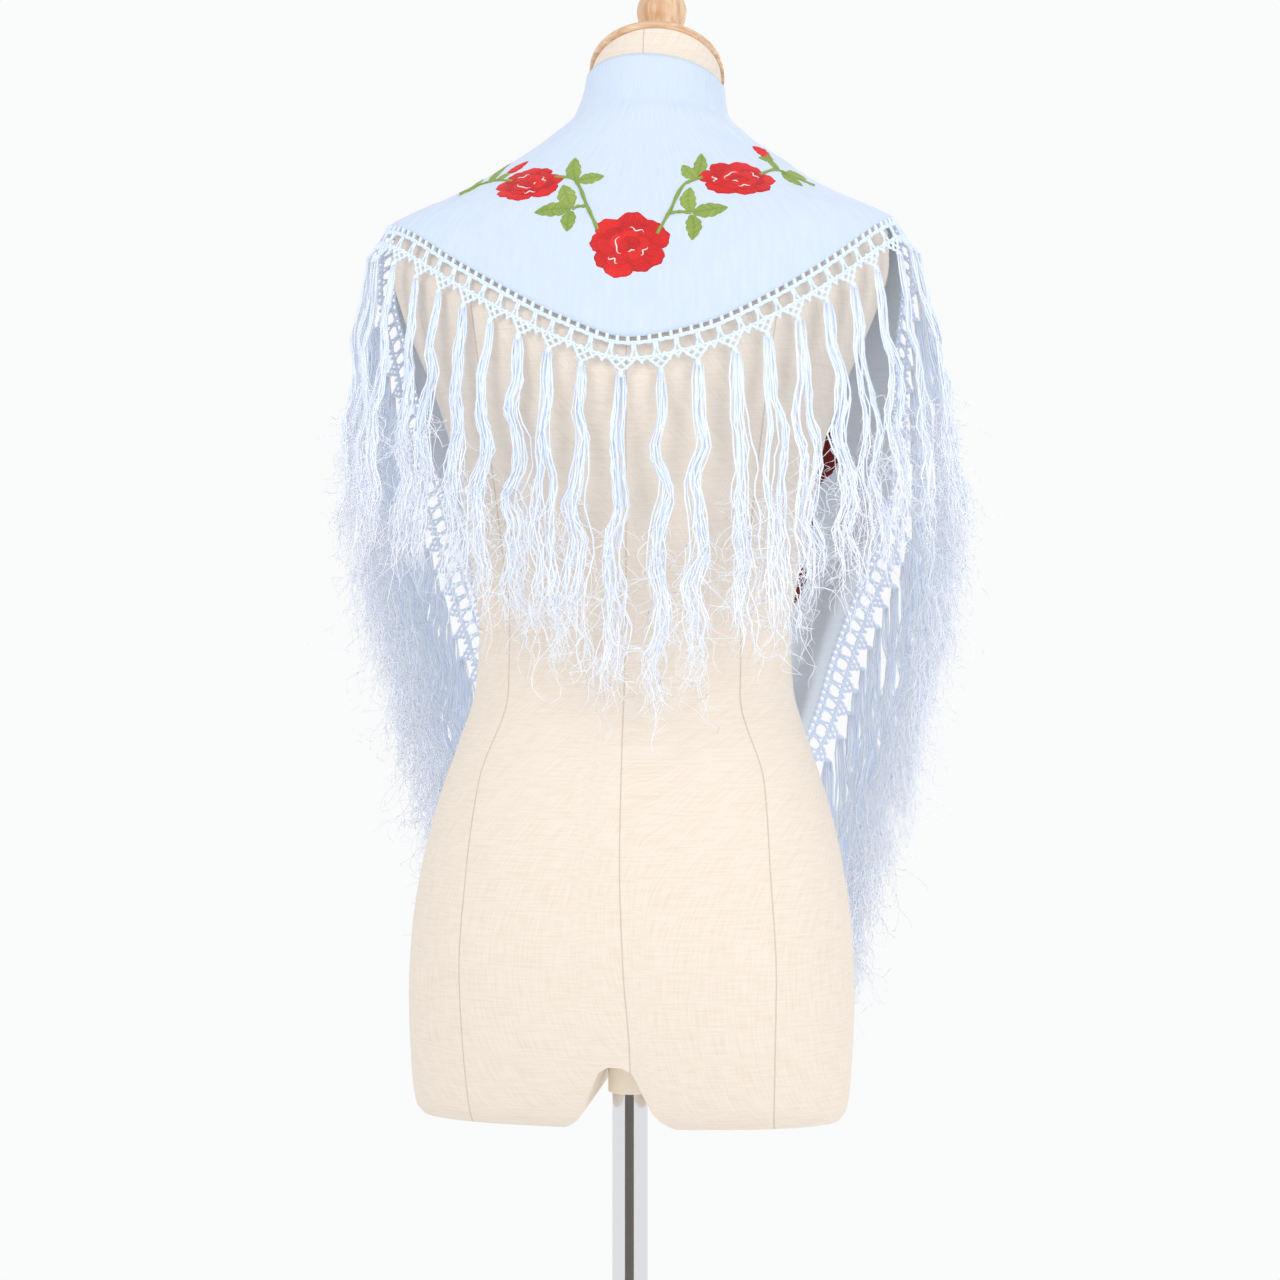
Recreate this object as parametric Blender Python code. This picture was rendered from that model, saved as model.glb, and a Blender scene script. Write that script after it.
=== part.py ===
"""Fringed flamenco shawl worn by a limbless dress form that turns on a pole stand, at real size.

Metres, +Z up. The origin is on the floor, on the pole's axis. The form faces +Y, so its back is
towards -Y and its right side is towards +X.

The form and the cloth share one table of level sections. A section is a rounded oval with its own
half width, middle, back and front, and the cloth's outer face is the same oval let out by an ease.
Cloth, knotted band and fringe all follow one hem line that is laid on those sections.
"""

import math

import bmesh
import bpy
import numpy as np
from mathutils import Matrix, Vector

# ---------------------------------------------------------------- stand
BASE_RADIUS = 0.190
BASE_THICKNESS = 0.012
BOSS_RADIUS = 0.024
BOSS_TOP = 0.042
BASE_EDGE_ROUND = 0.003
POLE_RADIUS = 0.0135
FIT_GAP = 0.0003
POLE_FOOT = 0.005
POLE_TOP = 0.945
TURNING_GAP = 0.0004
SOCKET_WALL = 0.0026
SOCKET_MOUTH = 0.686
SOCKET_TOP = 0.950

# ---------------------------------------------------------------- dress form
FORM_BOTTOM = 0.669
NECK_ROOT = 1.350
BODY_LEAN = 0.0105
NECK_LEAN = 0.068
# Right half of the arch between the legs: height above the cut, half width.
LEG_ARCH = ((0.0, 0.0400), (0.008, 0.0300), (0.020, 0.0225), (0.036, 0.0175), (0.047, 0.0120), (0.053, 0.0))
CAP_RADIUS = 0.0525
CAP_THICKNESS = 0.0070
CAP_CENTRE = Vector((0.0166, 0.035, 1.4635))
CAP_SLOPE = math.radians(33)
CAP_EDGE_ROUND = 0.0018
# How far the cutters run past the form's faces.
CUTTER_BELOW = 0.02
CUTTER_REACH = 0.2
FORM_SEGMENTS = 40
CAP_SEGMENTS = 40
KNOB_SEGMENTS = 20
BASE_SEGMENTS = 48
POLE_SEGMENTS = 32

# Turned profile of the knob on the cap: distance along its axis, radius.
KNOB_PROFILE = (
    (0.000, 0.0190),
    (0.003, 0.0195),
    (0.007, 0.0150),
    (0.012, 0.0095),
    (0.034, 0.0085),
    (0.045, 0.0105),
    (0.051, 0.0155),
    (0.058, 0.0190),
    (0.066, 0.0202),
    (0.074, 0.0186),
    (0.081, 0.0135),
    (0.084, 0.0082),
    (0.088, 0.0086),
    (0.093, 0.0060),
    (0.095, 0.0000),
)

# ---------------------------------------------------------------- level sections
# Heights rise from the form's cut legs to above its neck. The last three columns are how far the
# cloth's outer face stands out from the form at the side, the back and the front.
SECTION_COLUMNS = (
    "height", "half_width", "middle_y", "back_y", "front_y",
    "power", "side_ease", "back_ease", "front_ease",
)
SECTIONS = (
    (0.6690, 0.1590, 0.000, -0.058, 0.070, 2.4, 0.056, 0.010, 0.054),
    (0.6750, 0.1635, 0.000, -0.067, 0.078, 2.4, 0.055, 0.010, 0.053),
    (0.7000, 0.1670, 0.000, -0.084, 0.087, 2.4, 0.053, 0.010, 0.050),
    (0.7600, 0.1690, 0.000, -0.107, 0.095, 2.4, 0.051, 0.010, 0.045),
    (0.8100, 0.1665, 0.000, -0.116, 0.100, 2.4, 0.053, 0.010, 0.040),
    (0.8600, 0.1590, 0.000, -0.117, 0.103, 2.4, 0.061, 0.010, 0.037),
    (0.9100, 0.1465, 0.000, -0.108, 0.102, 2.4, 0.075, 0.012, 0.038),
    (0.9500, 0.1330, 0.000, -0.097, 0.098, 2.4, 0.092, 0.015, 0.042),
    (0.9950, 0.1200, 0.000, -0.084, 0.091, 2.4, 0.105, 0.020, 0.049),
    (1.0350, 0.1180, 0.000, -0.081, 0.089, 2.4, 0.106, 0.020, 0.051),
    (1.0800, 0.1240, 0.000, -0.087, 0.093, 2.4, 0.098, 0.015, 0.047),
    (1.1250, 0.1320, 0.000, -0.094, 0.106, 2.4, 0.087, 0.010, 0.034),
    (1.1600, 0.1380, 0.000, -0.101, 0.122, 2.4, 0.078, 0.008, 0.018),
    (1.1900, 0.1450, 0.000, -0.106, 0.128, 2.4, 0.068, 0.0070, 0.011),
    (1.2200, 0.1560, 0.000, -0.108, 0.122, 2.4, 0.054, 0.0068, 0.010),
    (1.2500, 0.1690, 0.000, -0.107, 0.112, 2.4, 0.039, 0.0055, 0.010),
    (1.2800, 0.1810, 0.000, -0.103, 0.101, 2.4, 0.026, 0.0026, 0.009),
    (1.3100, 0.1890, 0.000, -0.094, 0.089, 2.4, 0.017, 0.0021, 0.008),
    (1.3300, 0.1885, 0.001, -0.086, 0.083, 2.4, 0.014, 0.0034, 0.007),
    (1.3443, 0.1820, 0.002, -0.0780, 0.080, 2.3, 0.010, 0.0040, 0.006),
    (1.3527, 0.1680, 0.003, -0.0725, 0.078, 2.3, 0.008, 0.0040, 0.006),
    (1.3631, 0.1460, 0.005, -0.0655, 0.076, 2.2, 0.007, 0.0040, 0.006),
    (1.3735, 0.1265, 0.006, -0.0585, 0.075, 2.2, 0.0065, 0.0040, 0.006),
    (1.3955, 0.0930, 0.011, -0.0440, 0.0745, 2.1, 0.006, 0.0040, 0.005),
    (1.4136, 0.0705, 0.018, -0.0345, 0.0760, 2.0, 0.006, 0.0040, 0.004),
    (1.4310, 0.0555, 0.0266, -0.0265, 0.0786, 2.0, 0.0042, 0.0035, 0.003),
    (1.4590, 0.0508, 0.0350, -0.0175, 0.0870, 2.0, 0.0032, 0.0030, 0.003),
    (1.5000, 0.0500, 0.0473, -0.0047, 0.0993, 2.0, 0.0030, 0.0030, 0.003),
)

# ---------------------------------------------------------------- shawl
CLOTH_THICKNESS = 0.0016
NECK_EDGE_BACK = 1.4700
NECK_EDGE_DROP = 0.0155
NECK_EDGE_SKEW = 0.0040
# The pointed hem across the back: x from the form's own middle, height.
BACK_HEM = (
    (-0.1940, 1.3440),
    (-0.1720, 1.3360),
    (-0.1251, 1.3068),
    (-0.0858, 1.2838),
    (-0.0432, 1.2614),
    (0.0068, 1.2446),
    (0.0573, 1.2536),
    (0.1033, 1.2752),
    (0.1448, 1.3024),
    (0.1780, 1.3300),
    (0.1940, 1.3440),
)
HEM_SHOULDER_X, HEM_TOP = BACK_HEM[-1]
SEAM_GAP = 0.0003
BACK_ROWS = 7
WING_COLUMNS = 11

# Each front wing hangs between its inner edge and its hem: height, inner edge's x, hem's x.
WING_COLUMNS_NAMED = ("height", "inner_x", "hem_x")
RIGHT_WING = (
    (0.8880, 0.0570, 0.0640),
    (0.9150, 0.0500, 0.0920),
    (0.9450, 0.0440, 0.1215),
    (0.9765, 0.0390, 0.1350),
    (1.0070, 0.0350, 0.1435),
    (1.0640, 0.0330, 0.1640),
    (1.1120, 0.0330, 0.1850),
    (1.1600, 0.0345, 0.1930),
    (1.2000, 0.0360, 0.1930),
    (1.2500, 0.0380, 0.1945),
    (1.3000, 0.0405, 0.1990),
    (1.3440, 0.0420, 0.1940),
)
LEFT_WING = (
    (0.8880, 0.0570, 0.0640),
    (0.9150, 0.0520, 0.0870),
    (0.9450, 0.0470, 0.1080),
    (0.9765, 0.0420, 0.1205),
    (1.0070, 0.0390, 0.1300),
    (1.0640, 0.0360, 0.1470),
    (1.1170, 0.0350, 0.1620),
    (1.1600, 0.0355, 0.1740),
    (1.2000, 0.0365, 0.1830),
    (1.2500, 0.0380, 0.1900),
    (1.3000, 0.0405, 0.1980),
    (1.3440, 0.0420, 0.1940),
)
# Inner edge where both wings come round the neck: share of the way up from the shoulder to the top
# of the seam, x as a share of the section's half width.
COLLAR_EDGE = (
    (0.00, 0.2180),
    (0.25, 0.3200),
    (0.50, 0.4500),
    (0.68, 0.6200),
    (0.85, 0.8300),
    (1.00, 0.9860),
)

# Soft upright folds of the wings: place across the wing, width of the fold, depth at the bottom.
WING_FOLDS = (
    (0.15, 0.100, 0.0080),
    (0.40, 0.100, -0.0080),
    (0.66, 0.105, 0.0085),
    (0.90, 0.090, -0.0050),
)
FOLD_START = 1.230
FOLD_FULL = 1.050

# ---------------------------------------------------------------- knotted band and fringe
BAND_GAP = 0.0004
NET_GAP = 0.0009
TOP_RAIL = 0.0035
LADDER_OPENING = 0.0105
BOTTOM_RAIL = 0.0030
BAND_THICKNESS = 0.0018
LADDER_BARS = 38
BAR_WIDTH = 0.0042
BACK_DROOP = 0.60
WING_DROOP = 0.30

# From the hem down: gap, top rail, opening, bottom rail.
BAND_LEVELS = (BAND_GAP, TOP_RAIL, LADDER_OPENING, BOTTOM_RAIL)
NET_TOP = sum(BAND_LEVELS) + NET_GAP
NET_HEIGHT = 0.0065
NET_THICKNESS = 0.0022
TASSELS = 23
LOCK_WIDTH = 0.0032
LOCK_SEGMENTS = 3
# A tassel has two locks, or one where the hem drops by more than this share of its own length.
# Two locks splay apart, and every other pair hangs further out from the cloth.
STEEP_HEM = 0.60
# A tassel that hangs straight over the next one, with less than this between their roots, has none.
LEAST_STEP = 0.003
LAYER_STEP = 0.0065
LAYER_FROM = 1 / 3
LOCK_SPLAY = 0.0035
LOCK_SWAY = 0.0015
SWAY_TURNS = 1.1
SWAY_PHASE = 1.7
LENGTH_WAVE = 0.012
LENGTH_PHASES = (2.4, 1.3)
# How much the tips stand out forwards and backwards, as a share of how much they do sideways.
BACK_FORWARD_SHARE = 0.35
# Length of the fringe, and how far its tips stand out from its roots, along each stretch of hem.
# The back runs from the left shoulder to the right one, and each front from its shoulder to its tip.
FRINGE_COLUMNS = ("place", "length", "flare")
BACK_FRINGE = (
    (0.00, 0.225, 0.026),
    (0.20, 0.218, 0.012),
    (0.42, 0.222, 0.010),
    (0.52, 0.240, 0.010),
    (0.62, 0.222, 0.010),
    (0.82, 0.218, 0.016),
    (1.00, 0.228, 0.040),
)
RIGHT_FRINGE = (
    (0.00, 0.235, 0.058),
    (0.12, 0.235, 0.060),
    (0.30, 0.235, 0.058),
    (0.45, 0.235, 0.040),
    (0.60, 0.240, 0.028),
    (0.80, 0.235, 0.026),
    (1.00, 0.205, 0.012),
)
LEFT_FRINGE = (
    (0.00, 0.235, 0.050),
    (0.20, 0.235, 0.048),
    (0.40, 0.235, 0.036),
    (0.75, 0.235, 0.020),
    (1.00, 0.205, 0.012),
)
# Half size of a lock down its length: share of the length, half width, half depth.
LOCK_SHAPE = ((0.00, 0.0015, 0.0011), (0.35, 0.0019, 0.0015), (0.75, 0.0021, 0.0016), (1.00, 0.0009, 0.0007))

# ---------------------------------------------------------------- laying out
FINE_SAMPLES = 600
JUST_INSIDE = 0.03
SLOPE_STEP = 0.002
SHARP_EDGE = math.radians(40)
FRONTS = (("right", 1, RIGHT_WING, RIGHT_FRINGE, 0.35), ("left", -1, LEFT_WING, LEFT_FRINGE, 1.0))

MATERIALS = {
    "chrome": ((0.80, 0.81, 0.82), 0.12, 1.0),
    "linen": ((0.90, 0.83, 0.73), 0.90, 0.0),
    "wood": ((0.78, 0.57, 0.38), 0.45, 0.0),
    "cream_plastic": ((0.88, 0.84, 0.72), 0.50, 0.0),
    "crepe": ((0.70, 0.81, 0.95), 0.75, 0.0),
    "cord": ((0.80, 0.85, 0.93), 0.65, 0.0),
}


# ================================================================ curves through tables
def monotone_curve(at, stations, values):
    """Smooth curve through a table that never overshoots its values (monotone cubic)."""
    steps = np.diff(stations)
    slopes = np.diff(values) / steps
    tangents = np.concatenate([slopes[:1], np.zeros(len(slopes) - 1), slopes[-1:]])
    before, after = slopes[:-1], slopes[1:]
    same_way = before * after > 0
    wide_before = 2 * steps[1:] + steps[:-1]
    wide_after = steps[1:] + 2 * steps[:-1]
    safe_before = np.where(same_way, before, 1.0)
    safe_after = np.where(same_way, after, 1.0)
    mean = (wide_before + wide_after) / (wide_before / safe_before + wide_after / safe_after)
    tangents[1:-1] = np.where(same_way, mean, 0.0)
    at = np.clip(at, stations[0], stations[-1])
    cell = np.clip(np.searchsorted(stations, at, side="right") - 1, 0, len(steps) - 1)
    h = steps[cell]
    t = (at - stations[cell]) / h
    return (
        values[cell] * (1 + 2 * t) * (1 - t) ** 2
        + tangents[cell] * h * t * (1 - t) ** 2
        + values[cell + 1] * t**2 * (3 - 2 * t)
        + tangents[cell + 1] * h * t**2 * (t - 1)
    )


def table_column(table, names, name):
    """The table's first column and the named one, as two arrays."""
    rows = np.array(table, float)
    return rows[:, 0], rows[:, names.index(name)]


def section(name, height):
    """One size of the level section at each height."""
    return monotone_curve(height, *table_column(SECTIONS, SECTION_COLUMNS, name))


def smoothstep(low, high, value):
    """Rises softly from 0 at the low value to 1 at the high one."""
    share = np.clip((value - low) / (high - low), 0, 1)
    return share * share * (3 - 2 * share)


def lean(height):
    """How far the form and the cloth on it stand to the right of the pole, which grows with height."""
    return BODY_LEAN * (height - FORM_BOTTOM) + NECK_LEAN * np.maximum(0, height - NECK_ROOT)


def oval(angle, height, ease):
    """Points on the level ovals. Angle 0 is the right side and 90 degrees the front.

    An ease of 0 gives the form and 1 gives the outer face of the cloth.
    """
    angle, height = np.broadcast_arrays(np.asarray(angle, float), np.asarray(height, float))
    half_width = section("half_width", height) + ease * section("side_ease", height)
    middle = section("middle_y", height)
    back = section("back_y", height) - ease * section("back_ease", height)
    front = section("front_y", height) + ease * section("front_ease", height)
    bend = 2 / section("power", height)
    across, along = np.cos(angle), np.sin(angle)
    depth = np.where(along > 0, front - middle, middle - back)
    x = lean(height) + half_width * np.sign(across) * np.abs(across) ** bend
    y = middle + depth * np.sign(along) * np.abs(along) ** bend
    return np.stack([x, y, height], axis=-1)


def angle_of_x(x, height):
    """Angle on the cloth's oval at which it is x out from its middle, on the right side."""
    half_width = section("half_width", height) + section("side_ease", height)
    share = np.clip(np.abs(x) / half_width, 0, 1)
    return np.arccos(share ** (section("power", height) / 2))


# ================================================================ cloth surfaces
def cloth_face(angle, height):
    """Points on the cloth's outer face, and the unit normals that point out of it."""
    points = oval(angle, height, 1.0)
    around = oval(angle + SLOPE_STEP, height, 1.0) - oval(angle - SLOPE_STEP, height, 1.0)
    upward = oval(angle, height + SLOPE_STEP, 1.0) - oval(angle, height - SLOPE_STEP, 1.0)
    normals = np.cross(around, upward)
    return points, normals / np.linalg.norm(normals, axis=-1, keepdims=True)


def seam_angle(height):
    """Angle at which a stretch stops short of the shoulder seam, by half the seam's gap."""
    depth = section("middle_y", height) - section("back_y", height) + section("back_ease", height)
    return np.arcsin((SEAM_GAP / 2 / depth) ** (section("power", height) / 2))


def neck_edge(angle):
    """Height of the cloth's top edge on the back. It dips towards the shoulders, more on the right."""
    return NECK_EDGE_BACK - NECK_EDGE_DROP * (1 - np.abs(np.sin(angle))) - NECK_EDGE_SKEW * np.cos(angle)


def back_cloth(across, up):
    """The shawl on the back. Across runs -1 to 1, left shoulder to right; up 0 to 1, hem to neck."""
    x = HEM_SHOULDER_X * np.sin(across * math.pi / 2)
    low = monotone_curve(x, *np.array(BACK_HEM, float).T)
    angle = -angle_of_x(x, low)
    angle = np.where(x < 0, -math.pi - angle, angle)
    height = low + (neck_edge(angle) - low) * up
    stop = seam_angle(height)
    return cloth_face(np.clip(angle, stop - math.pi, -stop), height)


def wing_angles(table, side, height):
    """Angles of a front's inner edge and of its outer edge, which is the hem and then the shoulder seam."""
    half_width = section("half_width", height) + section("side_ease", height)
    rise = (height - HEM_TOP) / (neck_edge(0.0 if side > 0 else math.pi) - HEM_TOP)
    collar_x = half_width * monotone_curve(rise, *np.array(COLLAR_EDGE, float).T)
    inner_x = monotone_curve(height, *table_column(table, WING_COLUMNS_NAMED, "inner_x"))
    hem_x = monotone_curve(height, *table_column(table, WING_COLUMNS_NAMED, "hem_x"))
    inner = angle_of_x(np.where(rise > 0, collar_x, inner_x), height)
    outer = np.where(rise > 0, 0.0, angle_of_x(hem_x, height))
    return inner, np.maximum(outer, seam_angle(height))


def wing_cloth(table, side, out, height):
    """A front of the shawl. Out runs 0 to 1, inner edge to hem. Side is 1 on the right, -1 on the left."""
    inner, outer = wing_angles(table, side, height)
    points, normals = cloth_face(inner + (outer - inner) * out, height)
    swell = sum(size * np.exp(-(((out - place) / width) ** 2)) for place, width, size in WING_FOLDS)
    depth = swell * (1 - smoothstep(FOLD_FULL, FOLD_START, height))
    points = points + normals * depth[..., None]
    middle = lean(height)
    points[..., 0] = middle + side * (points[..., 0] - middle)
    normals[..., 0] *= side
    return points, normals


def parameter_at(points, parameter, shares):
    """The parameter at given shares of the length of a line of points."""
    reach = np.concatenate([[0], np.cumsum(np.linalg.norm(np.diff(points, axis=0), axis=1))])
    return np.interp(np.asarray(shares) * reach[-1], reach, parameter)


# ================================================================ meshes
def material(name):
    """A plain Principled material from the table of finishes."""
    made = bpy.data.materials.get(name) or bpy.data.materials.new(name)
    made.use_nodes = True
    colour, roughness, metallic = MATERIALS[name]
    shader = made.node_tree.nodes["Principled BSDF"]
    shader.inputs["Base Color"].default_value = (*colour, 1)
    shader.inputs["Roughness"].default_value = roughness
    shader.inputs["Metallic"].default_value = metallic
    return made


def add_object(name, mesh, finish, parent):
    """Links a mesh as a named object, shaded smooth but for its sharp edges."""
    mesh.materials.append(material(finish))
    mesh.shade_smooth()
    mesh.set_sharp_from_angle(angle=SHARP_EDGE)
    made = bpy.data.objects.new(name, mesh)
    bpy.context.scene.collection.objects.link(made)
    made.parent = parent
    return made


def mesh_from(name, points, faces):
    """A closed mesh whose faces all point outwards."""
    mesh = bpy.data.meshes.new(name)
    mesh.from_pydata([tuple(p) for p in points], [], faces)
    work = bmesh.new()
    work.from_mesh(mesh)
    bmesh.ops.recalc_face_normals(work, faces=work.faces)
    work.to_mesh(mesh)
    work.free()
    return mesh


def turned_mesh(name, profile, segments):
    """A solid turned round Z from (height, radius) points. A radius of 0 closes an end in a point."""
    points, faces, rings = [], [], []
    for height, radius in profile:
        count = segments if radius > 0 else 1
        rings.append(list(range(len(points), len(points) + count)))
        for step in range(count):
            turn = 2 * math.pi * step / segments
            points.append((radius * math.cos(turn), radius * math.sin(turn), height))
    for low, high in zip(rings, rings[1:]):
        for step in range(segments):
            after = (step + 1) % segments
            corners = [low[step % len(low)], low[after % len(low)], high[after % len(high)], high[step % len(high)]]
            faces.append(list(dict.fromkeys(corners)))
    for ring in (rings[0], rings[-1]):
        if len(ring) > 1:
            faces.append(ring)
    return mesh_from(name, points, faces)


def wall_faces(rows, columns, kept, open_foot=()):
    """Faces of a wall between an outer and an inner grid of points, with holes where a cell isn't kept.

    A column in open_foot gets no face along its last row, because something grows from there.
    """
    count = rows * columns

    def index(row, column, inner):
        return row * columns + column + inner * count

    faces = []
    for row in range(rows - 1):
        for column in range(columns - 1):
            if not kept[row][column]:
                continue
            for inner in (0, 1):
                faces.append([
                    index(row, column, inner),
                    index(row, column + 1, inner),
                    index(row + 1, column + 1, inner),
                    index(row + 1, column, inner),
                ])
            sides = (
                (row - 1, column, (row, column), (row, column + 1)),
                (row + 1, column, (row + 1, column), (row + 1, column + 1)),
                (row, column - 1, (row, column), (row + 1, column)),
                (row, column + 1, (row, column + 1), (row + 1, column + 1)),
            )
            for other_row, other_column, start, end in sides:
                inside = 0 <= other_row < rows - 1 and 0 <= other_column < columns - 1
                if inside and kept[other_row][other_column]:
                    continue
                if other_row == rows - 1 and column in open_foot:
                    continue
                faces.append([index(*start, 0), index(*end, 0), index(*end, 1), index(*start, 1)])
    return faces


def cloth_object(name, face, parent):
    """A cloth wall: the given outer face and, one thickness inside it, the inner face."""
    outer, normals = face
    inner = outer - normals * CLOTH_THICKNESS
    rows, columns = outer.shape[:2]
    points = np.concatenate([outer.reshape(-1, 3), inner.reshape(-1, 3)])
    kept = [[True] * (columns - 1)] * (rows - 1)
    return add_object(name, mesh_from(name, points, wall_faces(rows, columns, kept)), "crepe", parent)


# ================================================================ hem, band and fringe
class Hem:
    """A stretch of hem: the cloth's edge as a line, the way out of the cloth and the way off its edge."""

    def __init__(self, edge_face, inside_face, droop):
        """Both faces are lines on the cloth's outer face, along the edge and just inside it."""
        edge, self.outward = edge_face
        along = np.gradient(edge, axis=0)
        self.along = along / np.linalg.norm(along, axis=1, keepdims=True)
        off_edge = edge - inside_face[0]
        for other_way in (self.along, self.outward):
            off_edge = off_edge - (off_edge * other_way).sum(axis=1, keepdims=True) * other_way
        off_edge /= np.linalg.norm(off_edge, axis=1, keepdims=True)
        fall = off_edge + droop * np.array([0.0, 0.0, -1.0])
        self.fall = fall / np.linalg.norm(fall, axis=1, keepdims=True)
        self.edge = edge - self.outward * CLOTH_THICKNESS / 2
        self.reach = np.concatenate([[0], np.cumsum(np.linalg.norm(np.diff(edge, axis=0), axis=1))])
        self.length = float(self.reach[-1])

    def pick(self, values, place):
        """Values at places along the hem, in metres from its start."""
        return np.stack([np.interp(place, self.reach, values[:, i]) for i in range(3)], axis=-1)

    def point(self, place, down, out):
        """Place along the hem, down from it along the band, out from the middle of the cloth."""
        place, down = np.broadcast_arrays(np.asarray(place, float), np.asarray(down, float))
        return (
            self.pick(self.edge, place)
            + down[..., None] * self.pick(self.fall, place)
            + out * self.pick(self.outward, place)
        )


def ladder_band(name, hem, parent):
    """The openwork band under the hem: two rails joined by bars, cut through between the bars."""
    pitch = hem.length / LADDER_BARS
    bar_middles = (np.arange(LADDER_BARS) + 0.5) * pitch
    stations = np.sort(np.concatenate([bar_middles - BAR_WIDTH / 2, bar_middles + BAR_WIDTH / 2]))
    levels = np.cumsum(BAND_LEVELS)
    place, down = np.meshgrid(stations, levels)
    outer = hem.point(place, down, BAND_THICKNESS / 2)
    inner = hem.point(place, down, -BAND_THICKNESS / 2)
    columns = len(stations)
    bars = [column % 2 == 0 for column in range(columns - 1)]
    kept = [[True] * (columns - 1), bars, [True] * (columns - 1)]
    points = np.concatenate([outer.reshape(-1, 3), inner.reshape(-1, 3)])
    mesh = mesh_from(name, points, wall_faces(len(levels), columns, kept))
    return add_object(name, mesh, "cord", parent)


def lock_rings(root, outward, across, length, flare, splay, sway_phase, layer):
    """The four-sided rings of one lock of fringe, from just under its root to its tip.

    It hangs down from the root, stands out by the flare and the layer, and goes across by the splay
    and a soft sway. Outward and across are level and square to each other.
    """
    shares, half_widths, half_depths = np.array(LOCK_SHAPE).T
    rings = []
    for step in range(1, LOCK_SEGMENTS + 1):
        share = step / LOCK_SEGMENTS
        sway = LOCK_SWAY * math.sin(2 * math.pi * SWAY_TURNS * share + sway_phase)
        middle = (
            root
            + np.array([0, 0, -length * share])
            + outward * (layer * min(1.0, share / LAYER_FROM) + flare * share)
            + across * (splay * share + sway)
        )
        half_width = np.interp(share, shares, half_widths)
        half_depth = np.interp(share, shares, half_depths)
        rings.append([
            middle + across * half_width * w + outward * half_depth * d
            for w, d in ((-1, 1), (1, 1), (1, -1), (-1, -1))
        ])
    return rings


def fringe(name, hem, table, forward_share, parent):
    """A narrow net strip under the band, with one or two locks growing from it for each tassel."""
    middles = (np.arange(TASSELS) + 0.5) * hem.length / TASSELS
    along = hem.pick(hem.along, middles)
    outward = hem.pick(hem.outward, middles) * np.array([1.0, forward_share, 0.0])
    outward /= np.linalg.norm(outward, axis=1, keepdims=True)
    across = np.cross([0.0, 0.0, 1.0], outward)
    across *= np.sign((across * along).sum(axis=1, keepdims=True))
    single = np.abs(along[:, 2]) > STEEP_HEM
    roots = hem.point(middles, NET_TOP + NET_HEIGHT, 0.0)
    steps = np.linalg.norm(np.diff(roots[:, :2], axis=0), axis=1)
    bare = set(np.flatnonzero(steps < LEAST_STEP))

    stations, locks = [], []
    for tassel, middle in enumerate(middles):
        offsets = [-LOCK_WIDTH / 2, LOCK_WIDTH / 2] if single[tassel] else [-LOCK_WIDTH, 0.0, LOCK_WIDTH]
        if tassel not in bare:
            locks += [(len(stations) + lock, tassel, lock) for lock in range(len(offsets) - 1)]
        stations += [middle + offset for offset in offsets]
    columns = len(stations)
    count = 2 * columns
    place, down = np.meshgrid(stations, [NET_TOP, NET_TOP + NET_HEIGHT])
    outer = hem.point(place, down, NET_THICKNESS / 2)
    inner = hem.point(place, down, -NET_THICKNESS / 2)
    points = list(np.concatenate([outer.reshape(-1, 3), inner.reshape(-1, 3)]))
    faces = wall_faces(2, columns, [[True] * (columns - 1)], open_foot=[column for column, _, _ in locks])

    for column, tassel, lock in locks:
        share = middles[tassel] / hem.length
        length = float(monotone_curve(share, *table_column(table, FRINGE_COLUMNS, "length")))
        length += LENGTH_WAVE * math.sin(LENGTH_PHASES[0] * tassel + LENGTH_PHASES[1] * lock)
        flare = float(monotone_curve(share, *table_column(table, FRINGE_COLUMNS, "flare")))
        pair = not single[tassel]
        rings = lock_rings(
            root=hem.point(np.array((stations[column] + stations[column + 1]) / 2), NET_TOP + NET_HEIGHT, 0.0),
            outward=outward[tassel],
            across=across[tassel],
            length=length,
            flare=flare,
            splay=LOCK_SPLAY * (2 * lock - 1) * pair,
            sway_phase=SWAY_PHASE * tassel * pair,
            layer=LAYER_STEP * (tassel % 2) * pair,
        )
        ring = [columns + column, columns + column + 1, count + columns + column + 1, count + columns + column]
        for corners in rings:
            lower = list(range(len(points), len(points) + 4))
            points.extend(corners)
            for side in range(4):
                after = (side + 1) % 4
                faces.append([ring[side], ring[after], lower[after], lower[side]])
            ring = lower
        faces.append(ring)
    return add_object(name, mesh_from(name, points, faces), "cord", parent)


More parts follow.
